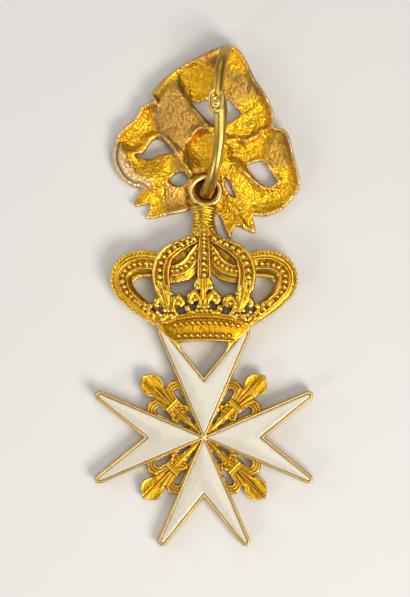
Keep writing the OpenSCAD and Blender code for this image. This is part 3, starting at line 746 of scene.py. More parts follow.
def build_eye():
    """Oval tab with a raised rim, a lobed end and the rivet's head."""
    cast = Cast((0.5, 4.0), (5.4, 11.0), (WIRE_TOP - 1.3, WIRE_TOP + 0.4), EYE_CELL)
    X, Y = cast.X - EYE_AT[0], cast.Y - EYE_AT[1]
    reach = np.hypot(X / EYE_HALF[0], Y / EYE_HALF[1])
    edge = (reach - 1) * EYE_HALF[0]
    flat = WIRE_TOP - 0.15
    under = WIRE_TOP - EYE_T
    cast.add(edge, flat + 0.24 * bell((reach - 0.84) / 0.13) - 0.1 * fade((edge + 0.15) / 0.15), under)
    lobe = away(X, Y, LOBE_AT) - LOBE_R
    cast.add(lobe, flat + 0.12 - 0.25 * fade((lobe + 0.35) / 0.35), under, 0.08)
    head = np.hypot(X, Y)
    cast.add(head - RIVET_R, flat + 0.12 + lines(head, RIVET_LINES), under + 0.4, 0.04)
    cast.add(away(X, Y, RIVET_DOT_AT) - RIVET_DOT_R, flat + 0.22, under + 0.4)
    finish_piece(cast_object("wire_eye", cast, BOW_PLACE), WIRE_GOLD, "gilt_wire", "bow", "hook")


def build_wires():
    arm = [[x, y, z, ARM_W, ARM_W * ARM_FLAT] for x, y, z in ARM_PATH]
    finish_piece(tube("wire_arm", curve(arm, 5), BOW_PLACE), AGED_GOLD, "gilt_cast", "bow")
    finish_piece(tube("hook_wire", curve(HOOK_PATH, 5), BOW_PLACE), WIRE_GOLD, "gilt_wire", "hook")
    build_eye()


# crown

CROWN_T = 3.8
CROWN_SPAN = (-2.6, 2.6)
ARCHES_CELL = 0.115
BASE_CELL = 0.11
MILL_PITCH = 0.5
# Bands of the crown on its right half: x, y from the cross's centre, width, half depth
SIDE_ARCH = [
    [7.4, 29, 3.6, 1.3], [9.3, 29.3, 3.9, 1.3], [11.2, 29.25, 3.9, 1.3], [12.8, 28.6, 3.8, 1.3],
    [13.7, 27.4, 3.7, 1.3], [13.8, 25.9, 3.6, 1.3], [13.2, 24.4, 3.4, 1.3], [11.9, 23, 3, 1.3],
    [10.4, 21.7, 2.7, 1.3], [8.9, 20.4, 2.3, 1.3], [7.5, 19.3, 1.9, 1.3]
]
SIDE_WALL = [[8, 27.5, 1.4, 0.6], [9.6, 27.5, 1.5, 0.6], [11.2, 27.2, 1.4, 0.6], [12.2, 26.2, 1, 0.6]]
FRONT_ARCH = [
    [0.9, 33.6, 1.3, 1.4], [3, 32.55, 1.7, 1.6], [4.9, 31.6, 2.2, 1.75], [6.2, 30.5, 2.6, 1.84],
    [6.95, 29, 2.9, 1.9], [7.2, 27.5, 3, 1.9], [7.1, 26, 2.9, 1.9], [6.75, 24.6, 2.7, 1.84],
    [6.4, 23.2, 2.3, 1.75]
]
FAR_ARCH = [
    [0.7, 31.9, 1.6, 1.15], [1.5, 30.7, 1.9, 1.15], [2.4, 29.3, 2, 1.15], [3.5, 28.4, 2, 1.15],
    [4.8, 27.9, 2, 1.15], [6.2, 27.8, 2, 1.15]
]
FAR_WALL = [
    [1.2, 28.9, 1.4, 0.6], [2.2, 27.5, 1.6, 0.6], [3.6, 26.7, 1.6, 0.6], [5.6, 26.4, 1.6, 0.6]
]
RECESS = [[1.4, 32.6, 1, 0.25], [2.4, 31.4, 2.2, 0.25], [3.9, 30.2, 2.6, 0.25], [5.2, 29.2, 2.2, 0.25]]
MIDDLE_ARCH = [
    [0, 34.3, 1, 1.3], [0, 33.8, 1.4, 1.5], [0, 33, 1.8, 1.62], [0, 31.4, 2.1, 1.75],
    [0, 29.2, 2.25, 1.9], [0, 26.3, 2.3, 1.95]
]
# Lines across each arch: height, place, width. Places are shares of the width for the side and front
# arches, and shares of the half width for the far arch
SIDE_LINES = [[-0.14, 0.14, 0.05], [-0.08, 0.27, 0.05], [0.26, 0.36, 0.035], [0.24, 0.77, 0.035],
              [-0.16, 0.56, 0.14]]
FRONT_LINES = [[0.1, 0.1, 0.08], [-0.1, 0.24, 0.05], [-0.14, 0.42, 0.16], [0.2, 0.66, 0.05],
               [-0.2, 0.78, 0.06], [0.22, 0.92, 0.06]]
FAR_LINES = [[-0.16, 0, 0.5], [0.22, -0.84, 0.14], [0.16, 0.84, 0.14]]
# Rows of beads on each arch: run at the first and at the last, pitch, shift as a share of the half
# width, radius, how far they are sunk, seed
SIDE_BEADS = [[2.3, 16.6, 1.02, -0.13, 0.44, 0.26, 5]]
FRONT_BEADS = [[0.9, 10.2, 1.14, 0.16, 0.5, 0.24, 7], [0.8, 3.6, 0.7, -0.3, 0.26, 0.06, 8]]
FAR_BEADS = [[0.5, 6.6, 0.86, 0.05, 0.4, 0.14, 11]]
MIDDLE_BEADS = [[3.4, 7.7, 0.93, 0, 0.45, 0.1, 13], [0.3, 3.3, 0.66, 0, 0.34, 0.06, 14]]
# Lumps of foliage where the outer and the front arches meet the base: x, y, radius
ARCH_LUMPS = [[11, 22.6, 0.5], [9.9, 22.3, 0.5], [8.95, 22, 0.58], [9.2, 21.3, 0.5], [8.4, 20.5, 0.45],
              [9.4, 20.7, 0.4], [8.5, 19.8, 0.42]]
FRONT_LUMPS = [[7.4, 23.9, 0.36], [5.55, 24.1, 0.38], [6.1, 24.4, 0.3]]
# Half outlines of the middle leaf and of the base band: x, y
MIDDLE_LEAF = [
    [0.95, 26.9], [1.4, 26.3], [1.8, 25.5], [1.65, 24.8], [1.25, 24.6], [0.9, 24.85], [0.6, 24.4],
    [0, 24.1]
]
BASE_HALF = [
    [0, 16.15], [2.4, 16.05], [3.7, 15.85], [4, 15.3], [3.5, 14.3], [3.9, 14.35], [4.9, 15.5],
    [5.7, 16.35], [7.2, 17.6], [7.7, 18.3], [7.7, 19], [7.2, 19.5], [5.7, 20.3], [3.2, 20.75],
    [0, 20.95]
]
BASE_HALF_W = 7.7
BASE_BEND = 50
# Flat lower corners of the base band: half depth, and the slope of their edge and its y at x = 0
CORNER_T = 1.38
CORNER_SLOPE = 1.246
CORNER_Y = 10.9
# Lines along the base band: height, y, how much they bend, width
BASE_LINES = [[-0.12, 19.95, 1.2, 0.1], [0.14, 19.75, 0.9, 0.1], [-0.06, 19.3, 0.9, 0.25],
              [-0.07, 17.15, 0.3, 0.3], [-0.12, 16.65, 0.3, 0.12], [0.16, 16.3, 0.35, 0.2]]
# Beads along it: first x, last x, number, y, how much they bend, how far they are sunk, radius
BASE_BEADS = [[-4.8, 5.7, 12, 19.3, 0.9, 0.22, 0.42], [-4.2, 4.2, 9, 17.15, 0.3, 0.2, 0.4]]
# Strokes of the lilies on the base band: x, y, width, extra height
MIDDLE_VOLUTE = [
    [0.6, 21.9, 0.7, 0], [0.75, 22.9, 0.85, 0.05], [1.1, 23.7, 1.05, 0.1], [1.7, 24.05, 1.2, 0.12],
    [2.25, 23.75, 1.25, 0.12], [2.35, 23.1, 1.15, 0.05], [2.1, 22.6, 0.8, 0]
]
MIDDLE_PETAL = [[0, 25, 1, 0.1], [0, 24, 1.5, 0.12], [0, 23, 1.35, 0.08], [0, 21.8, 0.9, 0]]
MIDDLE_FOOT = [[2.75, 21.5, 1.2, -0.2], [2.3, 21, 1.2, -0.25], [1.4, 20.8, 1, -0.25]]
MIDDLE_RIB = [[0.15, 24.8, 0.25, 0.16], [0.3, 23.2, 0.25, 0.18]]
# The disc behind each volute, and lumps beside the foot: x, y, how far they are sunk, radius
MIDDLE_DISC = (1.8, 23.3, 0.6, 0.85)
MIDDLE_LUMPS = [[1.7, 23.1, 0.42, 0.55], [2.7, 21.6, 0.5, 0.66]]
# Ties with lumps on them: y, each lump's x, radius
MIDDLE_TIES = [[21.95, (-0.95, -0.1, 0.75), 0.36], [21.25, (-1.2, -0.4, 0.4, 1.2), 0.33]]
# A side lily, laid from the ground up: foot, outer and inner volute, petal, two lobes, midrib
SIDE_STROKES = [
    [[6.9, 19.8, 1.1, -0.35], [5.9, 20.6, 1.7, -0.35], [5, 20.4, 1.6, -0.35]],
    [[6.2, 21.4, 0.7, 0], [6.8, 22.5, 0.9, 0.05], [7.35, 23.1, 1.1, 0.1], [7.8, 22.9, 1.15, 0.1],
     [7.95, 22.4, 1, 0.05], [7.7, 22, 0.7, 0]],
    [[4.5, 20.6, 0.7, -0.1], [5, 21.3, 0.8, 0], [5.2, 22.3, 0.95, 0.05], [4.95, 23, 1.1, 0.1],
     [4.4, 23.35, 1.25, 0.15], [3.85, 23.15, 1.35, 0.15], [3.65, 22.6, 1.3, 0.1], [3.85, 22.15, 0.9, 0]],
    [[7.15, 26, 0.4, 0.1], [6.95, 25.1, 1.4, 0.15], [6.6, 24.1, 2.1, 0.15], [6.25, 22.8, 1.8, 0.1],
     [5.95, 21.5, 1, 0.05]],
    [[7.85, 25.3, 0.4, 0.02], [7.6, 24.4, 0.8, 0.12], [7.1, 23.3, 0.75, 0.1], [6.5, 22.2, 0.5, 0.05]],
    [[6.2, 25.4, 0.4, 0.02], [5.95, 24.4, 0.8, 0.12], [5.85, 23.3, 0.75, 0.1], [5.85, 22.2, 0.5, 0.05]],
    [[6.95, 25.2, 0.3, 0.2], [6.5, 23.2, 0.4, 0.24], [5.95, 21.5, 0.3, 0.12]]
]
# Discs behind its volutes and lumps round its foot: x, y, radius
SIDE_DISCS = [[4.4, 22.6, 0.85], [7.4, 22.4, 0.6]]
SIDE_LUMPS = [[7.75, 20.95, 0.36], [7.3, 20.5, 0.4], [5.5, 20.5, 0.36], [4.9, 20.3, 0.34], [5.3, 20, 0.3],
              [4.35, 22.5, 0.5], [6.6, 20.4, 0.32], [6.6, 21.25, 0.36], [5.95, 21.2, 0.36],
              [5.3, 21.25, 0.34]]
# Half the stem's profile: height above the cross's centre, half width
STEM = [
    [32.7, 3.2], [33.3, 2.8], [33.9, 2.45], [34.8, 2.05], [35.9, 1.88], [36.8, 1.86],
    [37.4, 2.0], [37.9, 2.32], [38.5, 2.3], [39.2, 1.95]
]
# Rows of beads where the stem spreads over the arches: y, half width, number of beads, radius
STEM_BEADS = [[35.35, 0.9, 3, 0.2], [34.85, 1.35, 5, 0.22], [34.35, 1.75, 6, 0.24], [33.85, 2, 7, 0.25],
              [33.3, 2.3, 8, 0.26]]
STEM_TOP = 38.85
STEM_DEPTH = 0.56
STEM_CELL = 0.1
RING_CELL = 0.08
RING_D = 5.6
RING_WIRE = 0.94
RING_STRETCH = 1.06
RING_SAG = 0.25


def strip_edge(X, Y, rows):
    """At each place: distance outside a band, offset as a share of its half width, half depth, run."""
    U, V = X + 0.05 * grain(X, Y, 1.1, 71), Y + 0.05 * grain(X, Y, 1.1, 72)
    near, off, run, (width, depth) = follow(U, V, curve(rows, 4))
    return near - width / 2, off / (width / 2), depth, run


def bead_rows(cast, rows, beads, side=1):
    """Rows of beads along a band, or along its mirror image."""
    path = curve(rows, 6) * [side, 1, 1, 1]
    step = np.hypot(*np.diff(path[:, :2], axis=0).T)
    run = np.concatenate([[0], np.cumsum(step)])
    for first, last, pitch, shift, r, sink, seed in beads:
        random = np.random.default_rng(seed)
        for at in np.arange(first, last, pitch):
            x, y, width, depth = [np.interp(at, run, column) for column in path.T]
            i = min(np.searchsorted(run, at, side="right") - 1, len(path) - 2)
            dx, dy = (path[i + 1, :2] - path[i, :2]) / step[i]
            offset = shift * side * width / 2 + 0.06 * random.uniform(-1, 1)
            size = r * (1 + 0.14 * random.uniform(-1, 1))
            cast.ball(x - dy * offset, y + dx * offset, depth - sink, size)


def stroke(cast, rows, depth, side=1):
    """Half-round band along rows of x, y, width and extra height."""
    near, _, _, (width, lift) = follow(cast.X * side, cast.Y, curve(rows, 5))
    q = np.minimum(near / (width / 2), 1)
    cast.add(near - width / 2, depth + lift - 0.4 * width * (1 - np.sqrt(1 - q * q)), melt=0.05)


def both_halves(rows, steps=4):
    """Closed outline from its right half, which starts and ends on the middle line."""
    half = curve(rows, steps)
    return np.vstack([half, half[-2:0:-1] * [-1, 1]])


def side_arch(cast, side):
    """Outer arch: milled rim, groove, beads between two lines, sloping inner wall."""
    X = cast.X * side
    edge, q, depth, run = strip_edge(X, cast.Y, SIDE_ARCH)
    t = (1 - q) / 2
    top = depth - 0.30 + 0.16 * fade(t / 0.3) - 0.5 * fade((t - 0.82) / 0.2)
    top = top + 0.2 * bell((t - 0.05) / 0.05) * (1 + 0.9 * waves(run, MILL_PITCH)) + lines(t, SIDE_LINES)
    cast.add(edge, top - rounded(edge, 0.2), melt=0.04)
    bead_rows(cast, SIDE_ARCH, SIDE_BEADS, side)
    for x, y, r in ARCH_LUMPS:
        cast.ball(x * side, y, depth.min() - 0.35, r, 0.08)
    edge, _, depth, _ = strip_edge(X, cast.Y, SIDE_WALL)
    cast.add(edge, depth - rounded(edge, 0.25))


def front_arch(cast, side):
    """Nearer arch: broad rim outside, a row of beads, a bright line inside."""
    edge, q, depth, _ = strip_edge(cast.X * side, cast.Y, FRONT_ARCH)
    cast.add(edge, depth - 0.14 + lines((1 - q) / 2, FRONT_LINES) - rounded(edge, 0.25), melt=0.05)
    bead_rows(cast, FRONT_ARCH, FRONT_BEADS, side)
    for x, y, r in FRONT_LUMPS:
        cast.ball(x * side, y, CROWN_T / 2 - 0.12, r)


def far_arch(cast, side):
    """Arch further from the eye, its inner wall, and the closed recess above it."""
    X = cast.X * side
    edge, _, depth, _ = strip_edge(X, cast.Y, RECESS)
    cast.add(edge, depth + 0.04 * grain(X, cast.Y, 0.7, 12))
    edge, q, depth, _ = strip_edge(X, cast.Y, FAR_ARCH)
    cast.add(edge, depth + lines(q, FAR_LINES) - rounded(edge, 0.12))
    bead_rows(cast, FAR_ARCH, FAR_BEADS, side)
    edge, q, depth, _ = strip_edge(X, cast.Y, FAR_WALL)
    cast.add(edge, depth + 0.15 * q - rounded(edge, 0.3))


def middle_arch(cast):
    """Arch in the middle, seen end on, with a leaf hanging from it."""
    edge, q, depth, _ = strip_edge(cast.X, cast.Y, MIDDLE_ARCH)
    top = depth - 0.2 + 0.24 * bell((np.abs(q) - 0.82) / 0.14)
    cast.add(edge, top - rounded(edge, 0.2), melt=0.05)
    bead_rows(cast, MIDDLE_ARCH, MIDDLE_BEADS)
    edge = outline_distance(cast.X, cast.Y, both_halves(MIDDLE_LEAF))
    top = CROWN_T / 2 + 0.12 + 0.12 * bell((np.abs(cast.X) - 0.28) / 0.14)
    cast.add(edge, top - rounded(edge, 0.4), melt=0.05)
    for side in (-1, 1):
        cast.ball(1.2 * side, 25.2, CROWN_T / 2 - 0.32, 0.62, 0.08)


def middle_lily(cast, depth):
    x, y, sink, r = MIDDLE_DISC
    cast.add(away(np.abs(cast.X), cast.Y, (x, y)) - r, depth - sink)
    stroke(cast, MIDDLE_PETAL, depth)
    for side in (-1, 1):
        stroke(cast, MIDDLE_VOLUTE, depth, side)
        for x, y, sink, r in MIDDLE_LUMPS:
            cast.ball(x * side, y, depth - sink, r)
        stroke(cast, MIDDLE_FOOT, depth, side)
        stroke(cast, MIDDLE_RIB, depth, side)
    foot = np.maximum(np.abs(cast.X) - 1.3, np.abs(cast.Y - 20.95) - 0.6)
    cast.add(foot, depth - 0.35 - rounded(foot, 0.3))
    for y, xs, r in MIDDLE_TIES:
        tie = np.maximum(np.abs(cast.X) - 1.25, np.abs(cast.Y - y) - 0.3)
        cast.add(tie, depth - 0.2 - rounded(tie, 0.2))
        for x in xs:
            cast.ball(x, y, depth - 0.16, r)


def side_lily(cast, depth, side):
    for x, y, r in SIDE_DISCS:
        cast.add(away(cast.X * side, cast.Y, (x, y)) - r, depth - 0.7)
    for rows in SIDE_STROKES:
        stroke(cast, rows, depth, side)
    for x, y, r in SIDE_LUMPS:
        cast.ball(x * side, y, depth - 0.2, r)


def band_depth(x, depth):
    """Half depth of the base band, which thins towards its ends."""
    return depth * (1 - 0.25 * np.abs(x / BASE_HALF_W) ** 3)


def base_band(cast, depth):
    """Band under the lilies: a plain rim, beads, a grainy stretch, beads and a bright lower rim."""
    X, Y = cast.X, cast.Y
    edge = outline_distance(X, Y, both_halves(BASE_HALF))
    bend = X * X / BASE_BEND
    top = band_depth(X, depth) - 0.14
    top = top + 0.16 * (1 + 0.4 * waves(X, MILL_PITCH)) * bell((Y - 20.3 + 1.2 * bend) / 0.2)
    for height, y, share, width in BASE_LINES:
        top = top + height * bell((Y - y + share * bend) / width)
    # the lower corners are flat
    top = blend(top, CORNER_T, fade((np.abs(X) * CORNER_SLOPE - Y + CORNER_Y) / 1.6))
    top = top + 0.02 * grain(X, Y, 0.45, 21) * (0.3 + bell((Y - 18.2 + 0.5 * bend) / 0.6))
    cast.add(edge, top - rounded(edge, 0.25), melt=0.06)
    for first, last, count, y, share, sink, r in BASE_BEADS:
        for x in np.linspace(first, last, count):
            cast.ball(x, y - share * x * x / BASE_BEND, band_depth(x, depth) - sink, r)


def recess_shade(cast, recess, bands, share):
    """Painted shade in a recess on both sides, except where bands cover it."""
    shade = np.zeros(cast.X.shape)
    for side in (-1, 1):
        inside = fade(-strip_edge(cast.X * side, cast.Y, recess)[0] / 0.3)
        for band in bands:
            inside = inside * fade(strip_edge(cast.X * side, cast.Y, band)[0] / 0.2 + 0.5)
        shade = np.maximum(shade, share * inside)
    return shade


def build_crown():
    outer = Cast((-16.3, 16.3), (18, 31.8), CROWN_SPAN, ARCHES_CELL)
    arches = Cast((-9.2, 9.2), (21.5, 36), CROWN_SPAN, ARCHES_CELL)
    base = Cast((-9, 9), (13.6, 21.6), (-2.4, 2.4), BASE_CELL)
    lilies = Cast((-9, 9), (19, 26), CROWN_SPAN, BASE_CELL)
    base_band(base, CROWN_T / 2)
    middle_lily(lilies, CROWN_T / 2)
    for side in (-1, 1):
        side_arch(outer, side)
        far_arch(arches, side)
        front_arch(arches, side)
        side_lily(lilies, CROWN_T / 2 - 0.05, side)
    middle_arch(arches)
    # painted shade in the recesses between the arches
    shade = recess_shade(outer, SIDE_WALL, [SIDE_ARCH], 0.4)
    pendant_piece("crown_outer_arches", outer, POLISHED_GOLD, tarnish_and_shade=shade)
    shade = recess_shade(arches, RECESS, [FRONT_ARCH, FAR_ARCH], 0.8)
    pendant_piece("crown_arches", arches, POLISHED_GOLD, tarnish_and_shade=shade)
    pendant_piece("crown_base", base, BAND_GOLD)
    pendant_piece("crown_lilies", lilies, POLISHED_GOLD)


def stem_flatness(y):
    """Depth of the stem as a share of its width, less where it spreads over the arches."""
    return STEM_DEPTH * (0.62 + 0.38 * fade((y - 32.9) / 2))


def build_stem():
    cast = Cast((-4, 4), (32, 39.6), (-2.3, 2.3), STEM_CELL)
    X, Y = cast.X, cast.Y
    height, half = curve(STEM, 4).T
    bent = Y + 0.05 * X + 0.06 * X * X
    ribs = 0.12 * waves(bent - 33, MILL_PITCH) * fade((Y - 34.6) / 0.8) * fade((38.8 - Y) / 0.3)
    radius = np.interp(Y, height, half, left=0, right=0) + ribs * (0.75 + 0.5 * noise(X, Y, 0.9, 81))
    flat = stem_flatness(Y)[:, :, None]
    z = np.abs(cast.axes[2]) / flat
    body = (np.sqrt(X[:, :, None] ** 2 + z ** 2) - radius[:, :, None]) * flat
    body = np.maximum(body, np.maximum(Y - STEM_TOP, STEM[0][0] - Y)[:, :, None])
    cast.merge((slice(None),) * 3, body.astype(np.float32), 0)
    random = np.random.default_rng(82)
    for row_y, row_half, count, r in STEM_BEADS:
        for row_x in np.linspace(-row_half, row_half, count):
            x, y = row_x + 0.06 * random.uniform(-1, 1), row_y + 0.06 * random.uniform(-1, 1)
            bulge = np.interp(y, height, half) ** 2 - x ** 2
            depth = stem_flatness(y) * math.sqrt(max(bulge, 0.1))
            cast.ball(x, y, depth - 0.02, r * (1 + 0.15 * random.uniform(-1, 1)), 0.05)
    pendant_piece("stem", cast, POLISHED_GOLD)


def build_ring():
    """The ring that hangs on the hook."""
    x, y = RING_AT
    reach = RING_D / 2 + 0.5
    cast = Cast((x - reach, x + reach), (y - reach, y + reach), (-0.8, 0.8), RING_CELL)
    flat = np.hypot((cast.X - x) / RING_STRETCH, cast.Y - y + RING_SAG) - (RING_D - RING_WIRE) / 2
    ring = np.hypot(flat[:, :, None], cast.axes[2]) - RING_WIRE / 2
    cast.merge((slice(None),) * 3, ring.astype(np.float32), 0)
    pendant_piece("ring", cast, WIRE_GOLD)


# cross and enamel

ARM = [
    (ARM_ROOT, -ARM_ROOT), (ARM_REACH - 1, -ARM_SPREAD - 0.4), (ARM_REACH - 0.25, -ARM_SPREAD - 0.33),
    (ARM_REACH, -ARM_SPREAD), (ARM_REACH - 0.1, -ARM_SPREAD + 0.8), (ARM_NOTCH, 0),
    (ARM_REACH - 0.1, ARM_SPREAD - 0.8), (ARM_REACH, ARM_SPREAD), (ARM_REACH - 0.25, ARM_SPREAD + 0.33),
    (ARM_REACH - 1, ARM_SPREAD + 0.4), (ARM_ROOT, ARM_ROOT)
]


def inset(points, d):
    """Outline moved inward by d; its sides stay parallel."""
    p = np.asarray(points, float)
    n = len(p)
    out = []
    for i in range(n):
        a, b, c = p[i - 1], p[i], p[(i + 1) % n]
        u, v = (b - a) / np.linalg.norm(b - a), (c - b) / np.linalg.norm(c - b)
        pa, pb = b + d * np.array([-u[1], u[0]]), b + d * np.array([-v[1], v[0]])
        t = ((pb - pa)[0] * v[1] - (pb - pa)[1] * v[0]) / (u[0] * v[1] - u[1] * v[0])
        out.append(pa + u * t)
    return np.array(out)


def arm_outline(d):
    """Outline of an arm moved inward by d; near the centre its rims thin out and end in a point."""
    p = inset(ARM, d)
    share = d / (RIM_W + RIM_FLARE)
    tip = share * ENAMEL_TIP
    x = ARM_ROOT + share * 0.3
    slope = -p[1][1] / (p[1][0] - ENAMEL_TIP)
    y = (1 - share) * ARM_ROOT + share * slope * (x - ENAMEL_TIP)
    return np.vstack([[(x, -y)], p[1:-1], [(x, y), (tip, 0)]])


def turned(degrees):
    """Place of a part of the cross that is turned about its centre."""
    return PENDANT @ Matrix.Rotation(math.radians(degrees), 4, "Z")


def arm_body(name, quarter):
    """Gold body of one arm: rounded rims on both faces and cells for the enamel."""
    half = CROSS_T / 2
    r = RIM_W + RIM_FLARE
    profile = [(0, 0), (0, half - 0.14), (0.05, half - 0.05), (0.13, half), (r - 0.13, half),
               (r - 0.05, half - 0.05), (r, half - 0.12), (r, half - CELL_D)]
    profile = [(d, -z) for d, z in profile[:0:-1]] + profile
    corners = [(x, y, z) for d, z in profile for x, y in arm_outline(d)]
    faces, rings = sleeve(len(profile), len(ARM) + 1)
    obj = mesh_object(name, corners, faces + [rings[-1], rings[0][::-1]], turned(90 * quarter))
    obj.data.set_sharp_from_angle(angle=math.radians(50))
    finish_piece(obj, RIM_GOLD, "gilt_polished", "crown_and_cross")


GLAZE_CELL = 0.19
GLAZE_EDGE = 0.55


def enamel_field(node, quarter, face):
    """Enamel in one cell, domed towards its edges."""
    outline = arm_outline(RIM_W + RIM_FLARE + ENAMEL_GAP)
    half = CROSS_T / 2
    low, high = outline.min(0) - 0.5, outline.max(0) + 0.5
    cast = Cast((low[0], high[0]), (low[1], high[1]),
                (half - CELL_D - 0.2, half + ENAMEL_RISE + 0.35), GLAZE_CELL)
    edge = outline_distance(cast.X, cast.Y, outline) + 0.03 * grain(cast.X, cast.Y, 0.9, 91 + quarter)
    dome = half - 0.02 + ENAMEL_RISE * (1 - np.exp(np.minimum(edge, 0) / GLAZE_EDGE))
    cast.add(edge, dome, half - CELL_D + 0.02)
    corners, faces, _ = cast.skin()
    if face:
        corners[:, 2] *= -1
        faces = [face[::-1] for face in faces]
    obj = mesh_object(node + "_glaze", corners, faces, turned(90 * quarter))
    finish_piece(obj, WHITE, "white_enamel", node)


LILY_HALF = [
    [14.6, 0], [14.1, 0.7], [13.4, 1.6], [12.5, 2], [11.5, 1.8], [10.7, 1.3], [10.3, 1.3],
    [10.6, 1.9], [10.6, 2.7], [10.1, 3.4], [9.5, 3.9], [7.6, 3.3], [3, 1.35], [0.6, 0.4]
]
# Slots and leaves of the lily: x, distance from its middle line, half width of a slot or a leaf's width
LILY_SLOTS = [[[8.4, 2.15, 0.55], [6.3, 1.75, 0.25]], [[4.8, 1.05, 0.28], [2.9, 0.62, 0.15]]]
LILY_LEAVES = [
    [[7, 0.7, 0.6], [6.4, 1.2, 0.7], [5.8, 1.5, 0.6], [5.4, 1.3, 0.45]],
    [[5.6, 0.6, 0.4], [5.1, 1.1, 0.45], [4.7, 1.2, 0.4]],
    [[4.4, 0.45, 0.3], [3.4, 0.75, 0.35]]
]
LILY_T = 1.1
# Along its length: the end of the foot, the tie, the start of the neck and of the head
LILY_FOOT = 7.2
LILY_TIE = 7.45
LILY_NECK = 7.9
LILY_HEAD = 10.2
LILY_SCROLL_AT = (8.45, 2.2)
LILY_CELL = 0.1
BOSS_CELL = 0.07


def lily_cast(sharp):
    """Fleur-de-lys along +X, with its midrib, curls, tie bar and lower stems."""
    cast = Cast((0, 15.2), (-4.5, 4.5), (-1.2, 1.2), LILY_CELL)
    X, Y = cast.X, cast.Y
    A = np.abs(Y)
    half = curve(LILY_HALF, 4)
    edge = outline_distance(X, Y, np.vstack([half, half[-2:0:-1] * [1, -1]]))
    for slot in LILY_SLOTS:
        near, _, _, (r,) = follow(X, A, slot)
        edge = np.maximum(edge, r - near)
    h = LILY_T / 2
    top = h + 0.02 * grain(X, Y, 0.5, 41)
    # the head: two shallow hollows, a midrib, flutes that gather at the tie
    petal = fade((X - LILY_HEAD) / 0.6)
    neck = fade((X - LILY_NECK) / 0.3) * fade((1.75 - A) / 0.3)
    top = top - 0.13 * bell((A - 1.05) / 0.6) * petal + 0.07 * petal * bell((edge + 0.15) / 0.14)
    top = top + 0.08 * neck * fade((12.6 - X) / 2.5) * np.cos(np.arctan2(A, X - 5.2) * 42)
    if sharp:
        top = top + neck * (0.17 * bell((Y - 0.1) / 0.12) - 0.12 * bell((Y + 0.16) / 0.1))
    else:
        top = top + 0.1 * neck * bell(A / 0.3) * fade((12.5 - X) / 1.5)
    # scrolls beside the neck
    curl = away(X, A, LILY_SCROLL_AT)
    ringed = fade((X - LILY_NECK) / 0.4) * fade((A - 1.3) / 0.4) * (1 - petal)
    top = top + 0.1 * ringed * np.cos((curl - 0.75) * 2 * math.pi / 0.52)
    # the foot: a stem between curled leaves
    foot = fade((LILY_FOOT - X) / 0.3)
    top = top + 0.22 * foot * bell(A / (0.2 + 0.045 * X))
    top = top + 0.05 * foot * np.cos(A * 2 * math.pi / 0.42) * fade((X - 4.4) / 1)
    for leaf in LILY_LEAVES:
        near, _, _, (width,) = follow(X, A, curve(leaf, 4))
        top = top + foot * (0.17 * bell(near / (width * 0.45)) - 0.1 * bell((near - width * 0.62) / 0.1))
    cast.add(edge, top - rounded(edge, 0.22))
    along = np.abs(X - LILY_TIE)
    tie = np.maximum(along - 0.4, A - 1.4)
    rims = 0.07 * bell((along - 0.3) / 0.08)
    cast.add(tie, h + 0.22 + rims - rounded(tie, 0.1))
    return cast


def build_cross():
    for quarter, name in enumerate(("right", "top", "left", "bottom")):
        arm_body(f"arm_{name}", quarter)
        for face, where in enumerate(("back", "front")):
            enamel_field(f"enamel_{name}_{where}", quarter, face)
    casts = {sharp: lily_cast(sharp) for sharp in (True, False)}
    for k, (name, sharp) in enumerate((("top_right", True), ("top_left", False),
                                       ("low_left", True), ("low_right", True))):
        pendant_piece("lily_" + name, casts[sharp], SATIN_GOLD, turned(45 + 90 * k))
    # small worn knot where the rims cross
    boss = Cast((-1.3, 1.3), (-1.3, 1.3), (-1.6, 1.6), BOSS_CELL)
    u, v = (boss.X + boss.Y) / math.sqrt(2), (boss.X - boss.Y) / math.sqrt(2)
    edge = np.minimum(np.abs(u) + 3 * np.abs(v), np.abs(v) + 3 * np.abs(u)) * 0.5 - 0.42
    boss.add(edge, CROSS_T / 2 + 0.1 - 0.15 * np.hypot(u, v) ** 2 - rounded(edge, 0.12))
    pendant_piece("cross_boss", boss, RIM_GOLD)


# stage, light and camera

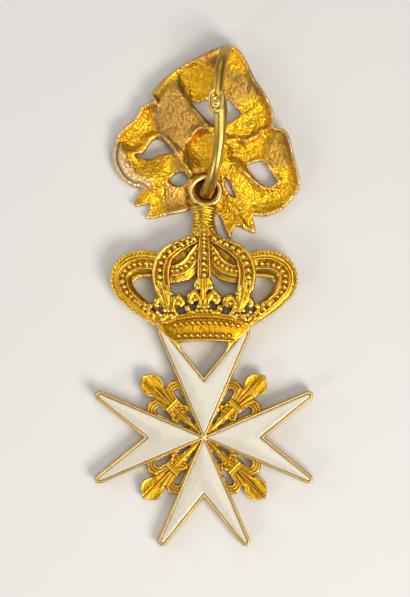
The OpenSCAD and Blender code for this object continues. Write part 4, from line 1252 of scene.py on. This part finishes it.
# Lights: name, place and aim in metres, size, power, colour
LIGHTS = [
    ["key", (0.18, -0.20, 0.30), (0, 0, 0), (0.18, 0.18), 1.15, (1, 0.96, 0.9)],
    ["left", (-0.34, 0.10, 0.22), (0, 0, 0), (0.26, 0.34), 0.42, (0.95, 0.97, 1)],
    ["low_left", (-0.24, -0.24, 0.20), (0, 0, 0), (0.10, 0.10), 0.26, (1, 0.98, 0.95)],
    ["top", (0.02, 0.40, 0.30), (0, 0.01, 0), (0.34, 0.2), 0.3, (1, 1, 1)],
    ["overhead", (0.06, 0.04, 0.50), (0, 0, 0), (0.24, 0.24), 0.66, (1, 0.97, 0.92)]
]
FLOOR_HALF = 1500
FLOOR_DROP = 0.02


def build_stage():
    square = ((-1, -1), (1, -1), (1, 1), (-1, 1))
    corners = [(x * FLOOR_HALF, y * FLOOR_HALF, -FLOOR_DROP) for x, y in square]
    floor = mesh_object("floor", corners, [(0, 1, 2, 3)], Matrix())
    look = Look("pale_floor")
    look.feed(look.shader, {"Base Color": (0.74, 0.73, 0.71, 1), "Roughness": 0.85})
    floor.data.materials.append(look.material)
    world = bpy.data.worlds.new("studio")
    world.use_nodes = True
    background = world.node_tree.nodes["Background"]
    background.inputs["Color"].default_value = (0.9, 0.94, 1.0, 1)
    background.inputs["Strength"].default_value = 0.12
    bpy.context.scene.world = world
    for name, place, aim, size, power, colour in LIGHTS:
        light = bpy.data.lights.new(name, "AREA")
        light.shape = "RECTANGLE"
        light.size, light.size_y = size
        light.energy = power
        light.color = colour
        obj = add_object(name, light)
        obj.location = place
        obj.rotation_mode = "QUATERNION"
        obj.rotation_quaternion = (Vector(aim) - Vector(place)).to_track_quat("-Z", "Y")
    bpy.context.scene.view_settings.view_transform = "Standard"


# The photograph: a pixel in millimetres, its size in pixels, and where the cross's centre is in it
PIXEL = 0.168
PHOTO_SIZE = (410, 597)
CROSS_IN_PHOTO = (204, 436.5)
CAMERA_UP = 600
SENSOR = 36


def build_camera():
    """Straight above the badge, with the photograph's framing."""
    x = (PHOTO_SIZE[0] / 2 - CROSS_IN_PHOTO[0]) * PIXEL + CROSS_AT[0]
    y = (CROSS_IN_PHOTO[1] - PHOTO_SIZE[1] / 2) * PIXEL + CROSS_AT[1]
    camera = bpy.data.cameras.new("camera")
    camera.sensor_width = SENSOR
    camera.lens = SENSOR * CAMERA_UP / (PHOTO_SIZE[1] * PIXEL)
    camera.clip_start, camera.clip_end = 0.05, 5
    obj = add_object("camera", camera)
    obj.location = (x * MM, y * MM, CAMERA_UP * MM)
    bpy.context.scene.camera = obj


build_bow()
build_wires()
build_crown()
build_stem()
build_ring()
build_cross()
build_stage()
build_camera()
